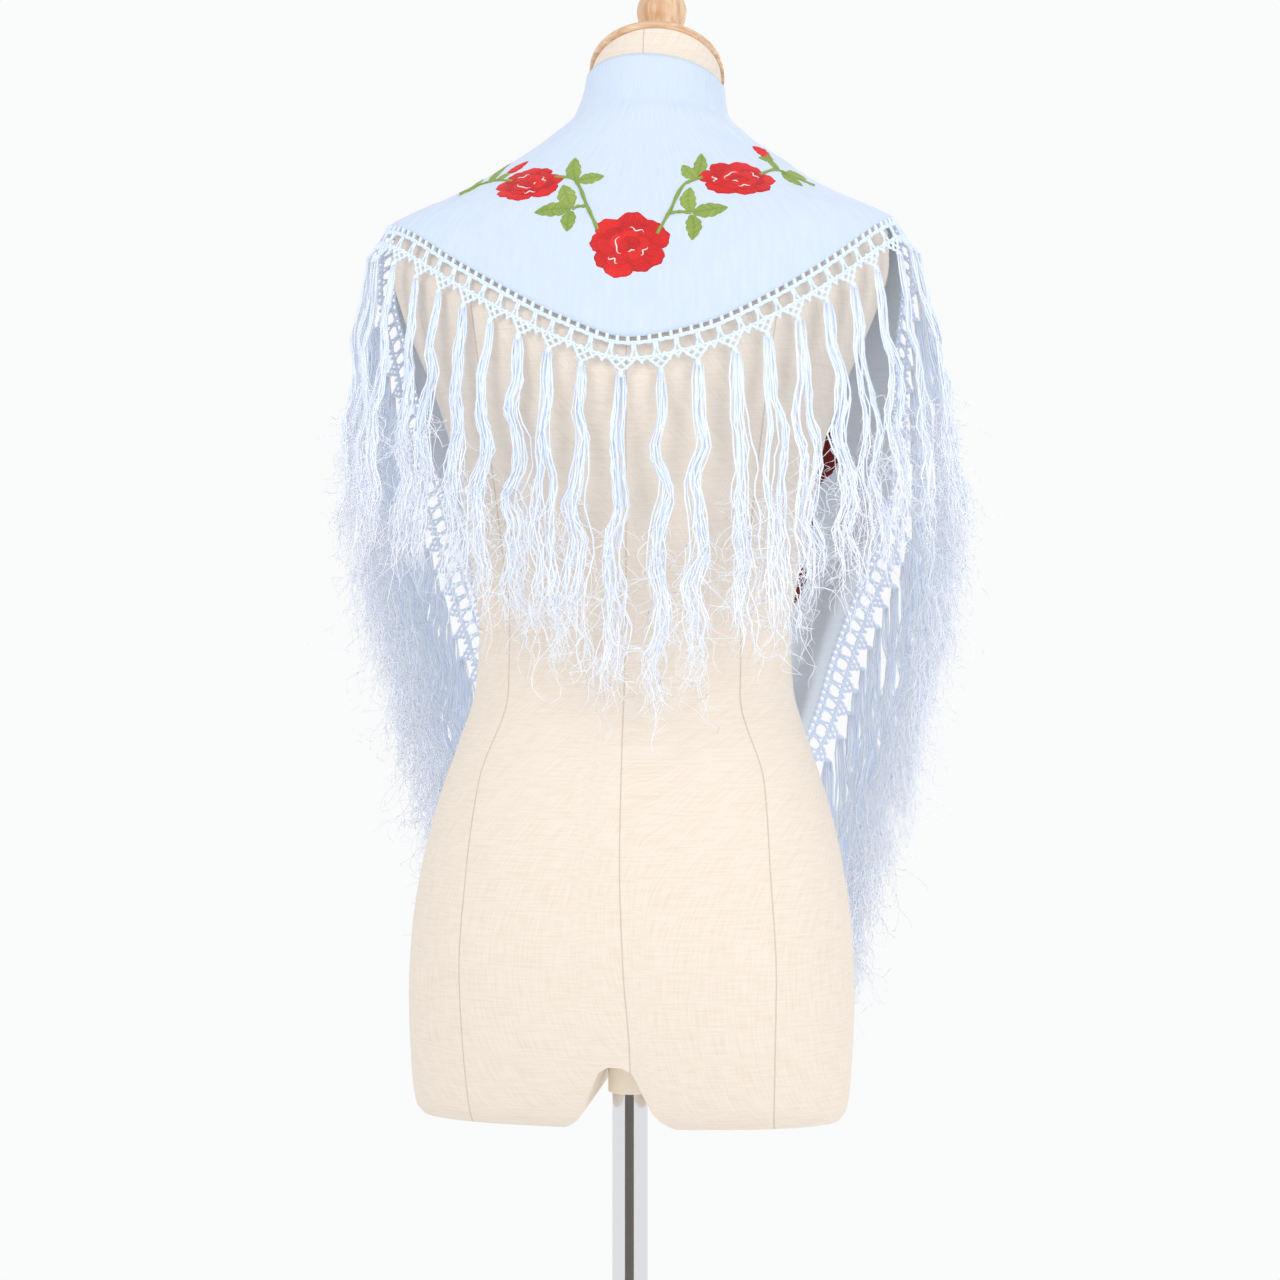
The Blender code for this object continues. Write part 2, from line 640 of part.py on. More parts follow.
# ================================================================ dress form and stand
def form_mesh():
    """The padded body: level ovals from the cut legs to the neck, sliced on the slope of the cap."""
    heights = [row[0] for row in SECTIONS]
    turns = np.arange(FORM_SEGMENTS) * 2 * math.pi / FORM_SEGMENTS
    points = np.concatenate([oval(turns, np.full_like(turns, height), 0.0) for height in heights])
    faces = []
    for ring in range(len(heights) - 1):
        low, high = ring * FORM_SEGMENTS, (ring + 1) * FORM_SEGMENTS
        for step in range(FORM_SEGMENTS):
            after = (step + 1) % FORM_SEGMENTS
            faces.append([low + step, low + after, high + after, high + step])
    faces.append(list(range(FORM_SEGMENTS)))
    faces.append(list(range(len(points) - FORM_SEGMENTS, len(points))))
    mesh = mesh_from("form_body", points, faces)
    work = bmesh.new()
    work.from_mesh(mesh)
    slope = Vector((0, math.sin(CAP_SLOPE), math.cos(CAP_SLOPE)))
    everything = work.verts[:] + work.edges[:] + work.faces[:]
    bmesh.ops.bisect_plane(work, geom=everything, plane_co=CAP_CENTRE, plane_no=slope, clear_outer=True)
    rim = [edge for edge in work.edges if edge.is_boundary]
    bmesh.ops.contextual_create(work, geom=rim)
    bmesh.ops.recalc_face_normals(work, faces=work.faces)
    work.to_mesh(mesh)
    work.free()
    return mesh


def leg_arch_cutter():
    """The gap between the cut legs: a rounded arch that runs right through from back to front."""
    right = [(x, FORM_BOTTOM + z) for z, x in LEG_ARCH]
    right = [(right[0][0], FORM_BOTTOM - CUTTER_BELOW)] + right
    outline = right + [(-x, z) for x, z in reversed(right[:-1])]
    count = len(outline)
    points = [(x, y, z) for y in (-CUTTER_REACH, CUTTER_REACH) for x, z in outline]
    faces = [list(range(count)), list(range(count, 2 * count))]
    faces += [[i, (i + 1) % count, count + (i + 1) % count, count + i] for i in range(count)]
    return mesh_from("leg_arch_cutter", points, faces)


def cut_with(target, name, mesh):
    """Cuts a hidden helper's shape out of the target."""
    helper = bpy.data.objects.new(name, mesh)
    bpy.context.scene.collection.objects.link(helper)
    helper.parent = target.parent
    helper.hide_render = True
    helper.display_type = "WIRE"
    cut = target.modifiers.new(name, "BOOLEAN")
    cut.operation = "DIFFERENCE"
    cut.solver = "EXACT"
    cut.object = helper


def build_stand(parent):
    """A round foot with a boss, and the pole that stands in it."""
    bore = POLE_RADIUS + FIT_GAP
    floor_of_bore = POLE_FOOT - FIT_GAP
    base_profile = (
        (0.0, BASE_RADIUS - BASE_EDGE_ROUND),
        (BASE_EDGE_ROUND, BASE_RADIUS),
        (BASE_THICKNESS - BASE_EDGE_ROUND, BASE_RADIUS),
        (BASE_THICKNESS, BASE_RADIUS - BASE_EDGE_ROUND),
        (BASE_THICKNESS, BOSS_RADIUS + BASE_EDGE_ROUND),
        (BASE_THICKNESS + BASE_EDGE_ROUND, BOSS_RADIUS),
        (BOSS_TOP, BOSS_RADIUS),
        (BOSS_TOP, bore),
        (floor_of_bore, bore),
    )
    add_object("base_plate", turned_mesh("base_plate", base_profile, BASE_SEGMENTS), "chrome", parent)
    pole_profile = ((POLE_FOOT, POLE_RADIUS), (POLE_TOP, POLE_RADIUS))
    add_object("pole", turned_mesh("pole", pole_profile, POLE_SEGMENTS), "chrome", parent)


def build_form(parent):
    """The body with its leg arch and its socket on the pole, the sloping cap and the knob."""
    body = add_object("form_body", form_mesh(), "linen", parent)
    cut_with(body, "leg_arch_cutter", leg_arch_cutter())
    inside = POLE_RADIUS + TURNING_GAP
    outside = inside + SOCKET_WALL
    bore_profile = ((FORM_BOTTOM - CUTTER_BELOW, outside + FIT_GAP), (SOCKET_TOP + FIT_GAP, outside + FIT_GAP))
    cut_with(body, "socket_cutter", turned_mesh("socket_cutter", bore_profile, POLE_SEGMENTS))
    socket_profile = (
        (POLE_TOP + FIT_GAP, inside),
        (SOCKET_MOUTH, inside),
        (SOCKET_MOUTH, outside),
        (SOCKET_TOP, outside),
    )
    socket = turned_mesh("pole_socket", socket_profile, POLE_SEGMENTS)
    add_object("pole_socket", socket, "cream_plastic", parent)

    tilt = Matrix.Translation(CAP_CENTRE) @ Matrix.Rotation(-CAP_SLOPE, 4, "X")
    cap_profile = (
        (FIT_GAP, CAP_RADIUS - CAP_EDGE_ROUND / 2),
        (FIT_GAP + CAP_EDGE_ROUND, CAP_RADIUS),
        (CAP_THICKNESS - CAP_EDGE_ROUND, CAP_RADIUS),
        (CAP_THICKNESS, CAP_RADIUS - CAP_EDGE_ROUND),
    )
    cap = add_object("neck_cap", turned_mesh("neck_cap", cap_profile, CAP_SEGMENTS), "wood", parent)
    cap.matrix_world = tilt
    knob = add_object("cap_knob", turned_mesh("cap_knob", KNOB_PROFILE, KNOB_SEGMENTS), "wood", parent)
    knob.matrix_world = tilt @ Matrix.Translation((0, 0, CAP_THICKNESS + FIT_GAP))


def build_shawl(parent):
    """The cloth in three stretches, each with its knotted band and its fringe."""
    bars = (np.arange(LADDER_BARS) + 0.5) / LADDER_BARS
    ups = np.linspace(0, 1, BACK_ROWS + 1)

    fine = np.linspace(-1, 1, FINE_SAMPLES)
    line = back_cloth(fine, np.zeros_like(fine))[0]
    columns = parameter_at(line, fine, [0, *bars, 1])
    across, up = np.meshgrid(columns, ups)
    cloth_object("shawl_back", back_cloth(across, up), parent)
    edge = back_cloth(columns, np.zeros_like(columns))
    inside = back_cloth(columns, np.full_like(columns, JUST_INSIDE))
    hem = Hem(edge, inside, BACK_DROOP)
    ladder_band("band_back", hem, parent)
    fringe("fringe_back", hem, BACK_FRINGE, BACK_FORWARD_SHARE, parent)

    for word, side, table, lengths, forward_share in FRONTS:
        fine = np.linspace(HEM_TOP, table[0][0], FINE_SAMPLES)
        line = wing_cloth(table, side, np.ones_like(fine), fine)[0]
        rows = parameter_at(line, fine, [0, *bars[::2], 1])
        seam_rows = HEM_TOP + (neck_edge(0.0 if side > 0 else math.pi) - HEM_TOP) * ups[1:]
        out, height = np.meshgrid(np.linspace(0, 1, WING_COLUMNS + 1), np.concatenate([rows[::-1], seam_rows]))
        cloth_object(f"shawl_front_{word}", wing_cloth(table, side, out, height), parent)
        edge = wing_cloth(table, side, np.ones_like(rows), rows)
        inside = wing_cloth(table, side, np.full_like(rows, 1 - JUST_INSIDE), rows)
        hem = Hem(edge, inside, WING_DROOP)
        ladder_band(f"band_front_{word}", hem, parent)
        fringe(f"fringe_front_{word}", hem, lengths, forward_share, parent)


def main():
    for old in list(bpy.data.objects):
        bpy.data.objects.remove(old)
    stand = bpy.data.objects.new("stand_frame", None)
    turning = bpy.data.objects.new("turning_frame", None)
    for empty in (stand, turning):
        bpy.context.scene.collection.objects.link(empty)
    turning.parent = stand
    build_stand(stand)
    build_form(turning)
    build_shawl(turning)


main()
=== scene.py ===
"""Ice blue flamenco shawl with a knotted fringe, worn by a linen dress form on a chromed stand.

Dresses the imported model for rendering. Metres, +Z up, origin on the floor on the pole's axis. The
form faces +Y and the photograph looks at its back, so the camera stands on the -Y side.

The form, the cloth and all that hangs from the cloth follow one table of level sections. A place on
the cloth is a turn round the body (0 at the right side, a quarter turn at the front, minus a quarter
turn at the back) and a height.
"""

import logging
import math
from dataclasses import dataclass
from enum import Enum
from functools import cached_property
from typing import Any

import bpy
import numpy as np
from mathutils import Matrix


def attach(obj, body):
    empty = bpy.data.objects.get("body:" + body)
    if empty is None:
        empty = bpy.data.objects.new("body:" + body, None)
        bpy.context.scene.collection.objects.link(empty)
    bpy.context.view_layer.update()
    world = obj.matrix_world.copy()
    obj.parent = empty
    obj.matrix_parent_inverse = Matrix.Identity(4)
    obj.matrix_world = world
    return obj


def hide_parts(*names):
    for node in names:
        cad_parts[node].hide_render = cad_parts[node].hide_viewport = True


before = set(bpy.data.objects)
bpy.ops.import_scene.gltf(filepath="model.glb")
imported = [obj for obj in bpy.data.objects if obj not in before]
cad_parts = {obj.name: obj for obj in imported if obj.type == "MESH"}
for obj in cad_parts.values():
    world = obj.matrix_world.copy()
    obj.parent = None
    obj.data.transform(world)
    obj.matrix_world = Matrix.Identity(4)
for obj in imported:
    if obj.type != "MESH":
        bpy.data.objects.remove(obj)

LOG = logging.getLogger("shawl")
Array = np.ndarray
Table = tuple[tuple[float, ...], ...]
Colour = tuple[float, float, float, float]
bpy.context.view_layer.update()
MM = 0.001


class Face(Enum):
    """Which side of the body a place is measured on."""

    BACK = "back"
    FRONT = "front"


class Stretch(Enum):
    """The three stretches of hem, each with its own knotted band and fringe."""

    LEFT = "front_left"
    BACK = "back"
    RIGHT = "front_right"


# ================================================================ curves and arrays
def monotone_curve(at: Array, stations: Array, values: Array) -> Array:
    """Smooth curve through a table that never overshoots it.

    Between stations it is the cubic through both values whose slope at a station is the harmonic
    mean of the slopes beside it, or 0 where they differ in sign.

    Args:
        at: where the curve is wanted.
        stations: rising places of the table.
        values: the table's values there.

    Returns:
        The curve's values, in the shape of at.
    """
    stations, values = np.asarray(stations, float), np.asarray(values, float)
    steps = np.diff(stations)
    slopes = np.diff(values) / steps
    tangents = np.concatenate([slopes[:1], np.zeros(len(slopes) - 1), slopes[-1:]])
    before, after = slopes[:-1], slopes[1:]
    same_way = before * after > 0
    wide_before = 2 * steps[1:] + steps[:-1]
    wide_after = steps[1:] + 2 * steps[:-1]
    safe_before = np.where(same_way, before, 1.0)
    safe_after = np.where(same_way, after, 1.0)
    mean = (wide_before + wide_after) / (wide_before / safe_before + wide_after / safe_after)
    tangents[1:-1] = np.where(same_way, mean, 0.0)
    at = np.clip(at, stations[0], stations[-1])
    cell = np.clip(np.searchsorted(stations, at, side="right") - 1, 0, len(steps) - 1)
    h = steps[cell]
    t = (at - stations[cell]) / h
    return (
        values[cell] * (1 + 2 * t) * (1 - t) ** 2
        + tangents[cell] * h * t * (1 - t) ** 2
        + values[cell + 1] * t**2 * (3 - 2 * t)
        + tangents[cell + 1] * h * t**2 * (t - 1)
    )


def column(table: Table, index: int) -> tuple[Array, Array]:
    """The first column of a table and another one, as two arrays."""
    rows = np.array(table, float)
    return rows[:, 0], rows[:, index]


def smoothstep(low: float, high: float, value: Array) -> Array:
    """Rises softly from 0 at the low value to 1 at the high one: 3 t squared less 2 t cubed."""
    share = np.clip((value - low) / (high - low), 0, 1)
    return share * share * (3 - 2 * share)


def unit(vectors: Array) -> Array:
    """Vectors divided by their own length."""
    return vectors / np.maximum(np.linalg.norm(vectors, axis=-1, keepdims=True), 1e-12)


def tubes(paths: Array, radii: Array | float, sides: int, lead: Array, flat: float = 1.0) -> Array:
    """Rings of points round many paths at once.

    A ring's point is its path's point plus the radius times cos(turn) to the side and sin(turn) to
    the top, where the side is square to the path and to the lead direction.

    Args:
        paths: points along each path, (paths, rings, 3).
        radii: half thickness at each ring, (paths, rings) or one number.
        sides: points in a ring.
        lead: a direction that no path follows, (3,) or (paths, 1, 3).
        flat: how thick the tube is towards the lead, as a share of its width.

    Returns:
        Points, (paths, rings, sides, 3).
    """
    ways = unit(np.gradient(paths, axis=1))
    side = unit(np.cross(ways, np.broadcast_to(lead, ways.shape)))
    top = np.cross(ways, side)
    turns = np.arange(sides) * 2 * math.pi / sides
    radii = np.broadcast_to(radii, paths.shape[:2])[..., None, None]
    around = side[:, :, None] * np.cos(turns)[:, None] + flat * top[:, :, None] * np.sin(turns)[:, None]
    return paths[:, :, None] + radii * around


def beads(centres: Array, axes: Array, half_length: float, radius: float, lead: Array, flat: float = 0.8) -> Array:
    """Small round knots: a tube along each axis whose radius follows half a circle.

    Args:
        centres: middles of the knots, (knots, 3).
        axes: unit directions along the knots, (knots, 3).
        half_length: half the length of a knot.
        radius: half its width.
        lead: direction out of the cloth at each knot, (knots, 3).
        flat: its depth as a share of its width.

    Returns:
        Points, (knots, rings, sides, 3).
    """
    along = np.array([-1.0, -0.72, 0.0, 0.72, 1.0])
    round_off = np.array([0.25, 0.80, 1.0, 0.80, 0.25])
    paths = centres[:, None] + half_length * along[None, :, None] * axes[:, None]
    return tubes(paths, radius * round_off[None], 5, lead[:, None], flat)


class Surface:
    """Grids of points gathered into one mesh, with a chart and named values at every point."""

    def __init__(self, name: str) -> None:
        """Starts an empty surface under the name of the piece that it becomes."""
        self.name = name
        self.count = 0
        self.points: list[Array] = []
        self.faces: list[Array] = []
        self.charts: list[Array] = []
        self.slots: list[Array] = []
        self.values: dict[str, list[tuple[int, Array]]] = {}

    def add(
        self,
        points: Array,
        slot: int = 0,
        wrap: bool = False,
        capped: bool = False,
        flip: bool = False,
        chart: Array | None = None,
        **values: Array | float,
    ) -> None:
        """Adds several grids of one size at once.

        A face joins a point with the next in its row and with both in the row after.

        Args:
            points: (grids, rows, columns, 3).
            slot: which of the piece's materials it takes.
            wrap: whether the last column joins the first.
            capped: whether the first and last rows are closed by a strip.
            flip: whether the faces are turned over.
            chart: flat coordinates in metres, (grids, rows, columns and one more where it wraps, 2).
            values: named values, each in a shape that broadcasts to (grids, rows, columns).
        """
        grids, rows, columns, _ = points.shape
        width = columns + wrap
        if chart is None:
            chart = np.zeros((grids, rows, width, 2))
        chart = np.broadcast_to(chart, (grids, rows, width, 2)).reshape(grids, -1, 2)
        here = np.arange(columns if wrap else columns - 1)[None]
        row = np.arange(rows - 1)[:, None]
        quads = []
        for step, after in ((columns, (here + 1) % columns), (width, here + 1)):
            corners = (row * step + here, row * step + after, (row + 1) * step + after, (row + 1) * step + here)
            quads.append(np.stack(np.broadcast_arrays(*corners), axis=-1).reshape(-1, 4))
        batches = [(quads[0], quads[1])]
        if capped:
            # Corners taken from both ends of the row in turn, so that a thin bent row closes flat.
            zigzag = np.empty(columns, int)
            zigzag[0::2] = np.arange((columns + 1) // 2)
            zigzag[1::2] = columns - 1 - np.arange(columns // 2)
            strip = np.stack([zigzag[:-2], zigzag[1:-1], zigzag[2:]], axis=-1)
            strip[1::2] = strip[1::2, [0, 2, 1]]
            batches.append((strip, strip))
            batches.append((strip[:, ::-1] + (rows - 1) * columns, strip[:, ::-1] + (rows - 1) * width))
        starts = self.count + np.arange(grids)[:, None, None] * rows * columns
        for corners, places in batches:
            if flip:
                corners, places = corners[:, ::-1], places[:, ::-1]
            self.faces.append((corners[None] + starts).reshape(-1, corners.shape[1]))
            self.charts.append(chart[:, places].reshape(-1, 2))
            self.slots.append(np.full(grids * len(corners), slot))
        for name, value in values.items():
            full = np.broadcast_to(np.asarray(value, float), (grids, rows, columns)).ravel()
            self.values.setdefault(name, []).append((self.count, full))
        self.points.append(points.reshape(-1, 3))
        self.count += grids * rows * columns

    def build(self, *materials: bpy.types.Material) -> bpy.types.Object:
        """Makes the mesh and its object, shaded smooth, at the origin.

        Args:
            materials: one for each slot.

        Returns:
            The new object, linked to the scene.
        """
        mesh = bpy.data.meshes.new(self.name)
        sizes = np.concatenate([np.full(len(faces), faces.shape[1]) for faces in self.faces])
        corners = np.concatenate([faces.ravel() for faces in self.faces])
        mesh.vertices.add(self.count)
        mesh.vertices.foreach_set("co", np.concatenate(self.points).ravel())
        mesh.loops.add(len(corners))
        mesh.loops.foreach_set("vertex_index", corners.astype(np.int32))
        mesh.polygons.add(len(sizes))
        mesh.polygons.foreach_set("loop_start", (np.cumsum(sizes) - sizes).astype(np.int32))
        mesh.polygons.foreach_set("material_index", np.concatenate(self.slots).astype(np.int32))
        mesh.polygons.foreach_set("use_smooth", np.ones(len(sizes), bool))
        mesh.update(calc_edges=True)
        mesh.uv_layers.new(name="Chart").data.foreach_set("uv", np.concatenate(self.charts).ravel())
        for name, parts in self.values.items():
            whole = np.zeros(self.count)
            for start, part in parts:
                whole[start : start + len(part)] = part
            mesh.attributes.new(name, "FLOAT", "POINT").data.foreach_set("value", whole)
        for material in materials:
            mesh.materials.append(material)
        made = bpy.data.objects.new(self.name, mesh)
        bpy.context.scene.collection.objects.link(made)
        return made


def placed(
    piece: bpy.types.Object, body: str, nodes: tuple[str, ...] = ()
) -> bpy.types.Object:
    """Rides a piece on a body, hides the nodes that it stands for and reports it.

    Args:
        piece: the finished object.
        body: the body's name.
        nodes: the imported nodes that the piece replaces.

    Returns:
        The same object.
    """
    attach(piece, body)
    if nodes:
        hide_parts(*nodes)
    LOG.info("%s: %d triangles", piece.name, sum(len(face.vertices) - 2 for face in piece.data.polygons))
    return piece


# ================================================================ finishes
def linear(shade: str) -> Colour:
    """Turns an sRGB hex value to linear light.

    A part at or under 0.04045 is divided by 12.92; above it, it is ((part + 0.055) / 1.055) to the
    power 2.4.

    Args:
        shade: six hex digits after a #.

    Returns:
        Red, green, blue and an alpha of 1.
    """
    parts = [int(shade[i : i + 2], 16) / 255 for i in (1, 3, 5)]
    red, green, blue = (p / 12.92 if p <= 0.04045 else ((p + 0.055) / 1.055) ** 2.4 for p in parts)
    return red, green, blue, 1.0


def add_node(
    tree: bpy.types.NodeTree, kind: str, links: dict[Any, Any] | None = None, **settings: Any
) -> bpy.types.Node:
    """Adds a node.

    Args:
        tree: the material's or the world's node tree.
        kind: the node's type name.
        links: for each input, by name or number, a value or the socket that feeds it.
        settings: the node's own settings.

    Returns:
        The node.
    """
    node = tree.nodes.new(kind)
    for name, value in settings.items():
        setattr(node, name, value)
    for name, value in (links or {}).items():
        if isinstance(value, bpy.types.NodeSocket):
            tree.links.new(value, node.inputs[name])
        else:
            node.inputs[name].default_value = value
    return node


def blended(tree: bpy.types.NodeTree, share: Any, first: Any, second: Any, blend: str = "MIX") -> bpy.types.NodeSocket:
    """Mixes two colours, each a hex value or a socket.

    Args:
        tree: the material's node tree.
        share: 0 for the first colour, 1 for the second; a number or a socket.
        first: the first colour.
        second: the second colour.
        blend: how they are mixed.

    Returns:
        The mixed colour's socket.
    """
    first, second = (linear(shade) if isinstance(shade, str) else shade for shade in (first, second))
    return add_node(
        tree, "ShaderNodeMix", {0: share, 6: first, 7: second}, data_type="RGBA", blend_type=blend
    ).outputs[2]


def finished(tree: bpy.types.NodeTree, shader: bpy.types.Node, colour: Any, height: Any, strength: float,
             distance: float) -> None:
    """Links a colour and a bump from a height pattern into the shader.

    Args:
        tree: the material's node tree.
        shader: its Principled shader.
        colour: the colour's socket, or None where it is constant.
        height: the pattern's socket.
        strength: how strong the bump is, 0 to 1.
        distance: how high the pattern stands, in metres.
    """
    bump = add_node(tree, "ShaderNodeBump", {"Height": height, "Strength": strength, "Distance": distance}).outputs[0]
    if colour is not None:
        tree.links.new(colour, shader.inputs["Base Color"])
    tree.links.new(bump, shader.inputs["Normal"])


def new_material(name: str, **sockets: Any) -> tuple[bpy.types.Material, bpy.types.NodeTree, bpy.types.Node]:
    """A material with a Principled shader, whose constant sockets are set by name.

    Args:
        name: the material's name.
        sockets: the shader's inputs, with _ for each space.

    Returns:
        The material, its node tree and its shader.
    """
    material = bpy.data.materials.new(name)
    material.use_nodes = True
    tree = material.node_tree
    shader = tree.nodes["Principled BSDF"]
    for socket, value in sockets.items():
        shader.inputs[socket.replace("_", " ")].default_value = value
    return material, tree, shader


@dataclass(frozen=True)
class Linen:
    """Plain woven linen cover, unbleached: matt, warm off-white, with slubs and thin stitched seams."""

    ground: str = "#EFE3D5"
    slub: str = "#DCC9B2"
    seam: str = "#A08F7C"
    # Real thread spacing is about 0.7 mm. It is drawn at 1.6 mm so that it shows in the render.
    thread: float = 1.6 * MM
    slub_length: float = 22 * MM
    seam_half_width: float = 0.34 * MM

    def material(self) -> bpy.types.Material:
        """Threads both ways from stretched noise on the chart, and seams from signed distances."""
        made, tree, shader = new_material("linen_plain_weave", Roughness=0.92, Sheen_Weight=0.12, Sheen_Roughness=0.6)
        chart = add_node(tree, "ShaderNodeUVMap", uv_map="Chart").outputs[0]
        fine, coarse = 1 / self.thread, 1 / self.slub_length
        threads = []
        for scale in ((fine, coarse, 1), (coarse, fine, 1)):
            place = add_node(tree, "ShaderNodeMapping", {"Vector": chart, "Scale": scale}).outputs[0]
            noise = add_node(tree, "ShaderNodeTexNoise", {"Vector": place, "Scale": 1.0, "Detail": 3.0})
            threads.append(noise.outputs[0])
        weave = add_node(tree, "ShaderNodeMath", {0: threads[0], 1: threads[1]}, operation="ADD").outputs[0]
        slubs = add_node(tree, "ShaderNodeMapRange", {0: weave, 1: 0.86, 2: 1.34, 3: 0.0, 4: 0.42}).outputs[0]
        colour = blended(tree, slubs, self.ground, self.slub)
        lines = None
        for name in ("centre_seam", "princess_seam", "side_seam"):
            away = add_node(tree, "ShaderNodeAttribute", attribute_name=name).outputs["Fac"]
            away = add_node(tree, "ShaderNodeMath", {0: away}, operation="ABSOLUTE").outputs[0]
            line = add_node(
                tree,
                "ShaderNodeMapRange",
                {0: away, 1: self.seam_half_width * 0.4, 2: self.seam_half_width * 2.2, 3: 1.0, 4: 0.0},
                interpolation_type="SMOOTHSTEP",
            ).outputs[0]
            lines = line if lines is None else add_node(
                tree, "ShaderNodeMath", {0: lines, 1: line}, operation="MAXIMUM"
            ).outputs[0]
        dark = add_node(tree, "ShaderNodeMath", {0: lines, 1: 0.42}, operation="MULTIPLY").outputs[0]
        colour = blended(tree, dark, colour, self.seam)
        sunk = add_node(tree, "ShaderNodeMath", {0: lines, 1: -1.2, 2: weave}, operation="MULTIPLY_ADD").outputs[0]
        finished(tree, shader, colour, sunk, 0.35, 0.5 * MM)
        return made


@dataclass(frozen=True)
class Crepe:
    """Polyester crepe, piece dyed ice blue: matt with a fine pebbled grain; its inner face is paler, a painted light
    that stands in for light coming through the thin cloth.
    """

    ground: str = "#D2DFF3"
    # Painted light: the inner face's colour is paler than the dyed cloth, for light that comes through it.
    inside_painted_light: str = "#EAF4FF"
    # The real pebble is about 0.4 mm. It is drawn at 0.9 mm so that it shows.
    pebble: float = 0.9 * MM
    thread_scale: tuple[float, float, float] = (420, 40, 1)
    stitches_up: float = 2.2 * MM

    def material(self) -> bpy.types.Material:
        """Pebbles and threads from noise on the chart; the hem's stitching is a sunk line by the edge."""
        made, tree, shader = new_material("polyester_crepe", Roughness=0.82, Sheen_Weight=0.25, Sheen_Roughness=0.5)
        chart = add_node(tree, "ShaderNodeUVMap", uv_map="Chart").outputs[0]
        pebbles = add_node(
            tree, "ShaderNodeTexNoise", {"Vector": chart, "Scale": 1 / self.pebble, "Detail": 2.0}
        ).outputs[0]
        threads = add_node(tree, "ShaderNodeMapping", {"Vector": chart, "Scale": self.thread_scale}).outputs[0]
        threads = add_node(tree, "ShaderNodeTexNoise", {"Vector": threads, "Scale": 1.0, "Detail": 2.0}).outputs[0]
        inside = add_node(tree, "ShaderNodeAttribute", attribute_name="inside").outputs["Fac"]
        # Painted light: the inner face takes the paler colour of light coming through the cloth.
        colour = blended(tree, inside, self.ground, self.inside_painted_light)
        grain = add_node(tree, "ShaderNodeMapRange", {0: threads, 1: 0.3, 2: 0.7, 3: 0.965, 4: 1.02}).outputs[0]
        colour = blended(tree, 1.0, colour, grain, "MULTIPLY")
        away = add_node(tree, "ShaderNodeAttribute", attribute_name="from_hem").outputs["Fac"]
        row = add_node(tree, "ShaderNodeMath", {0: away, 1: self.stitches_up}, operation="SUBTRACT").outputs[0]
        row = add_node(tree, "ShaderNodeMath", {0: row}, operation="ABSOLUTE").outputs[0]
        row = add_node(tree, "ShaderNodeMapRange", {0: row, 1: 0.2 * MM, 2: 0.7 * MM, 3: 1.0, 4: 0.0}).outputs[0]
        sunk = add_node(tree, "ShaderNodeMath", {0: row, 1: -1.5, 2: pebbles}, operation="MULTIPLY_ADD").outputs[0]
        finished(tree, shader, colour, sunk, 0.22, 0.3 * MM)
        return made


@dataclass(frozen=True)
class SatinStitch:
    """Rayon embroidery thread in satin stitch: glossy along the stitch, with thin dark gaps between."""

    name: str
    light: str
    dark: str
    # The back of the stitching, on the cloth's inner face, which no light reaches straight: a darker colour than the
    # thread's own, which is painted shade.
    back: str
    # Real threads lie 0.35 mm apart. They are drawn 0.8 mm apart so that they show.
    thread: float = 0.8 * MM
    stripe_length: float = 9 * MM

    def material(self) -> bpy.types.Material:
        """Stripes along the stitch from noise stretched on the chart, mixed by the piece's tone, which carries painted
        shade; a tone far below zero gives the back colour, also painted shade.
        """
        made, tree, shader = new_material(self.name, Roughness=0.5, Sheen_Weight=0.04, Specular_IOR_Level=0.28)
        chart = add_node(tree, "ShaderNodeUVMap", uv_map="Chart").outputs[0]
        scale = (1 / self.thread, 1 / self.stripe_length, 1)
        place = add_node(tree, "ShaderNodeMapping", {"Vector": chart, "Scale": scale}).outputs[0]
        stripes = add_node(tree, "ShaderNodeTexNoise", {"Vector": place, "Scale": 1.0, "Detail": 2.5}).outputs[0]
        tone = add_node(tree, "ShaderNodeAttribute", attribute_name="tone").outputs["Fac"]
        mixed = add_node(tree, "ShaderNodeMapRange", {0: stripes, 1: 0.32, 2: 0.68, 3: -0.28, 4: 0.28}).outputs[0]
        mixed = add_node(tree, "ShaderNodeMath", {0: mixed, 1: tone}, operation="ADD", use_clamp=True).outputs[0]
        colour = blended(tree, mixed, self.dark, self.light)
        # Painted shade: tones far below zero, given to the back of the stitching, turn to the darker back colour.
        behind = add_node(tree, "ShaderNodeMapRange", {0: tone, 1: -0.5, 2: -0.9, 3: 0.0, 4: 1.0}).outputs[0]
        colour = blended(tree, behind, colour, self.back)
        finished(tree, shader, colour, stripes, 0.5, 0.4 * MM)
        return made


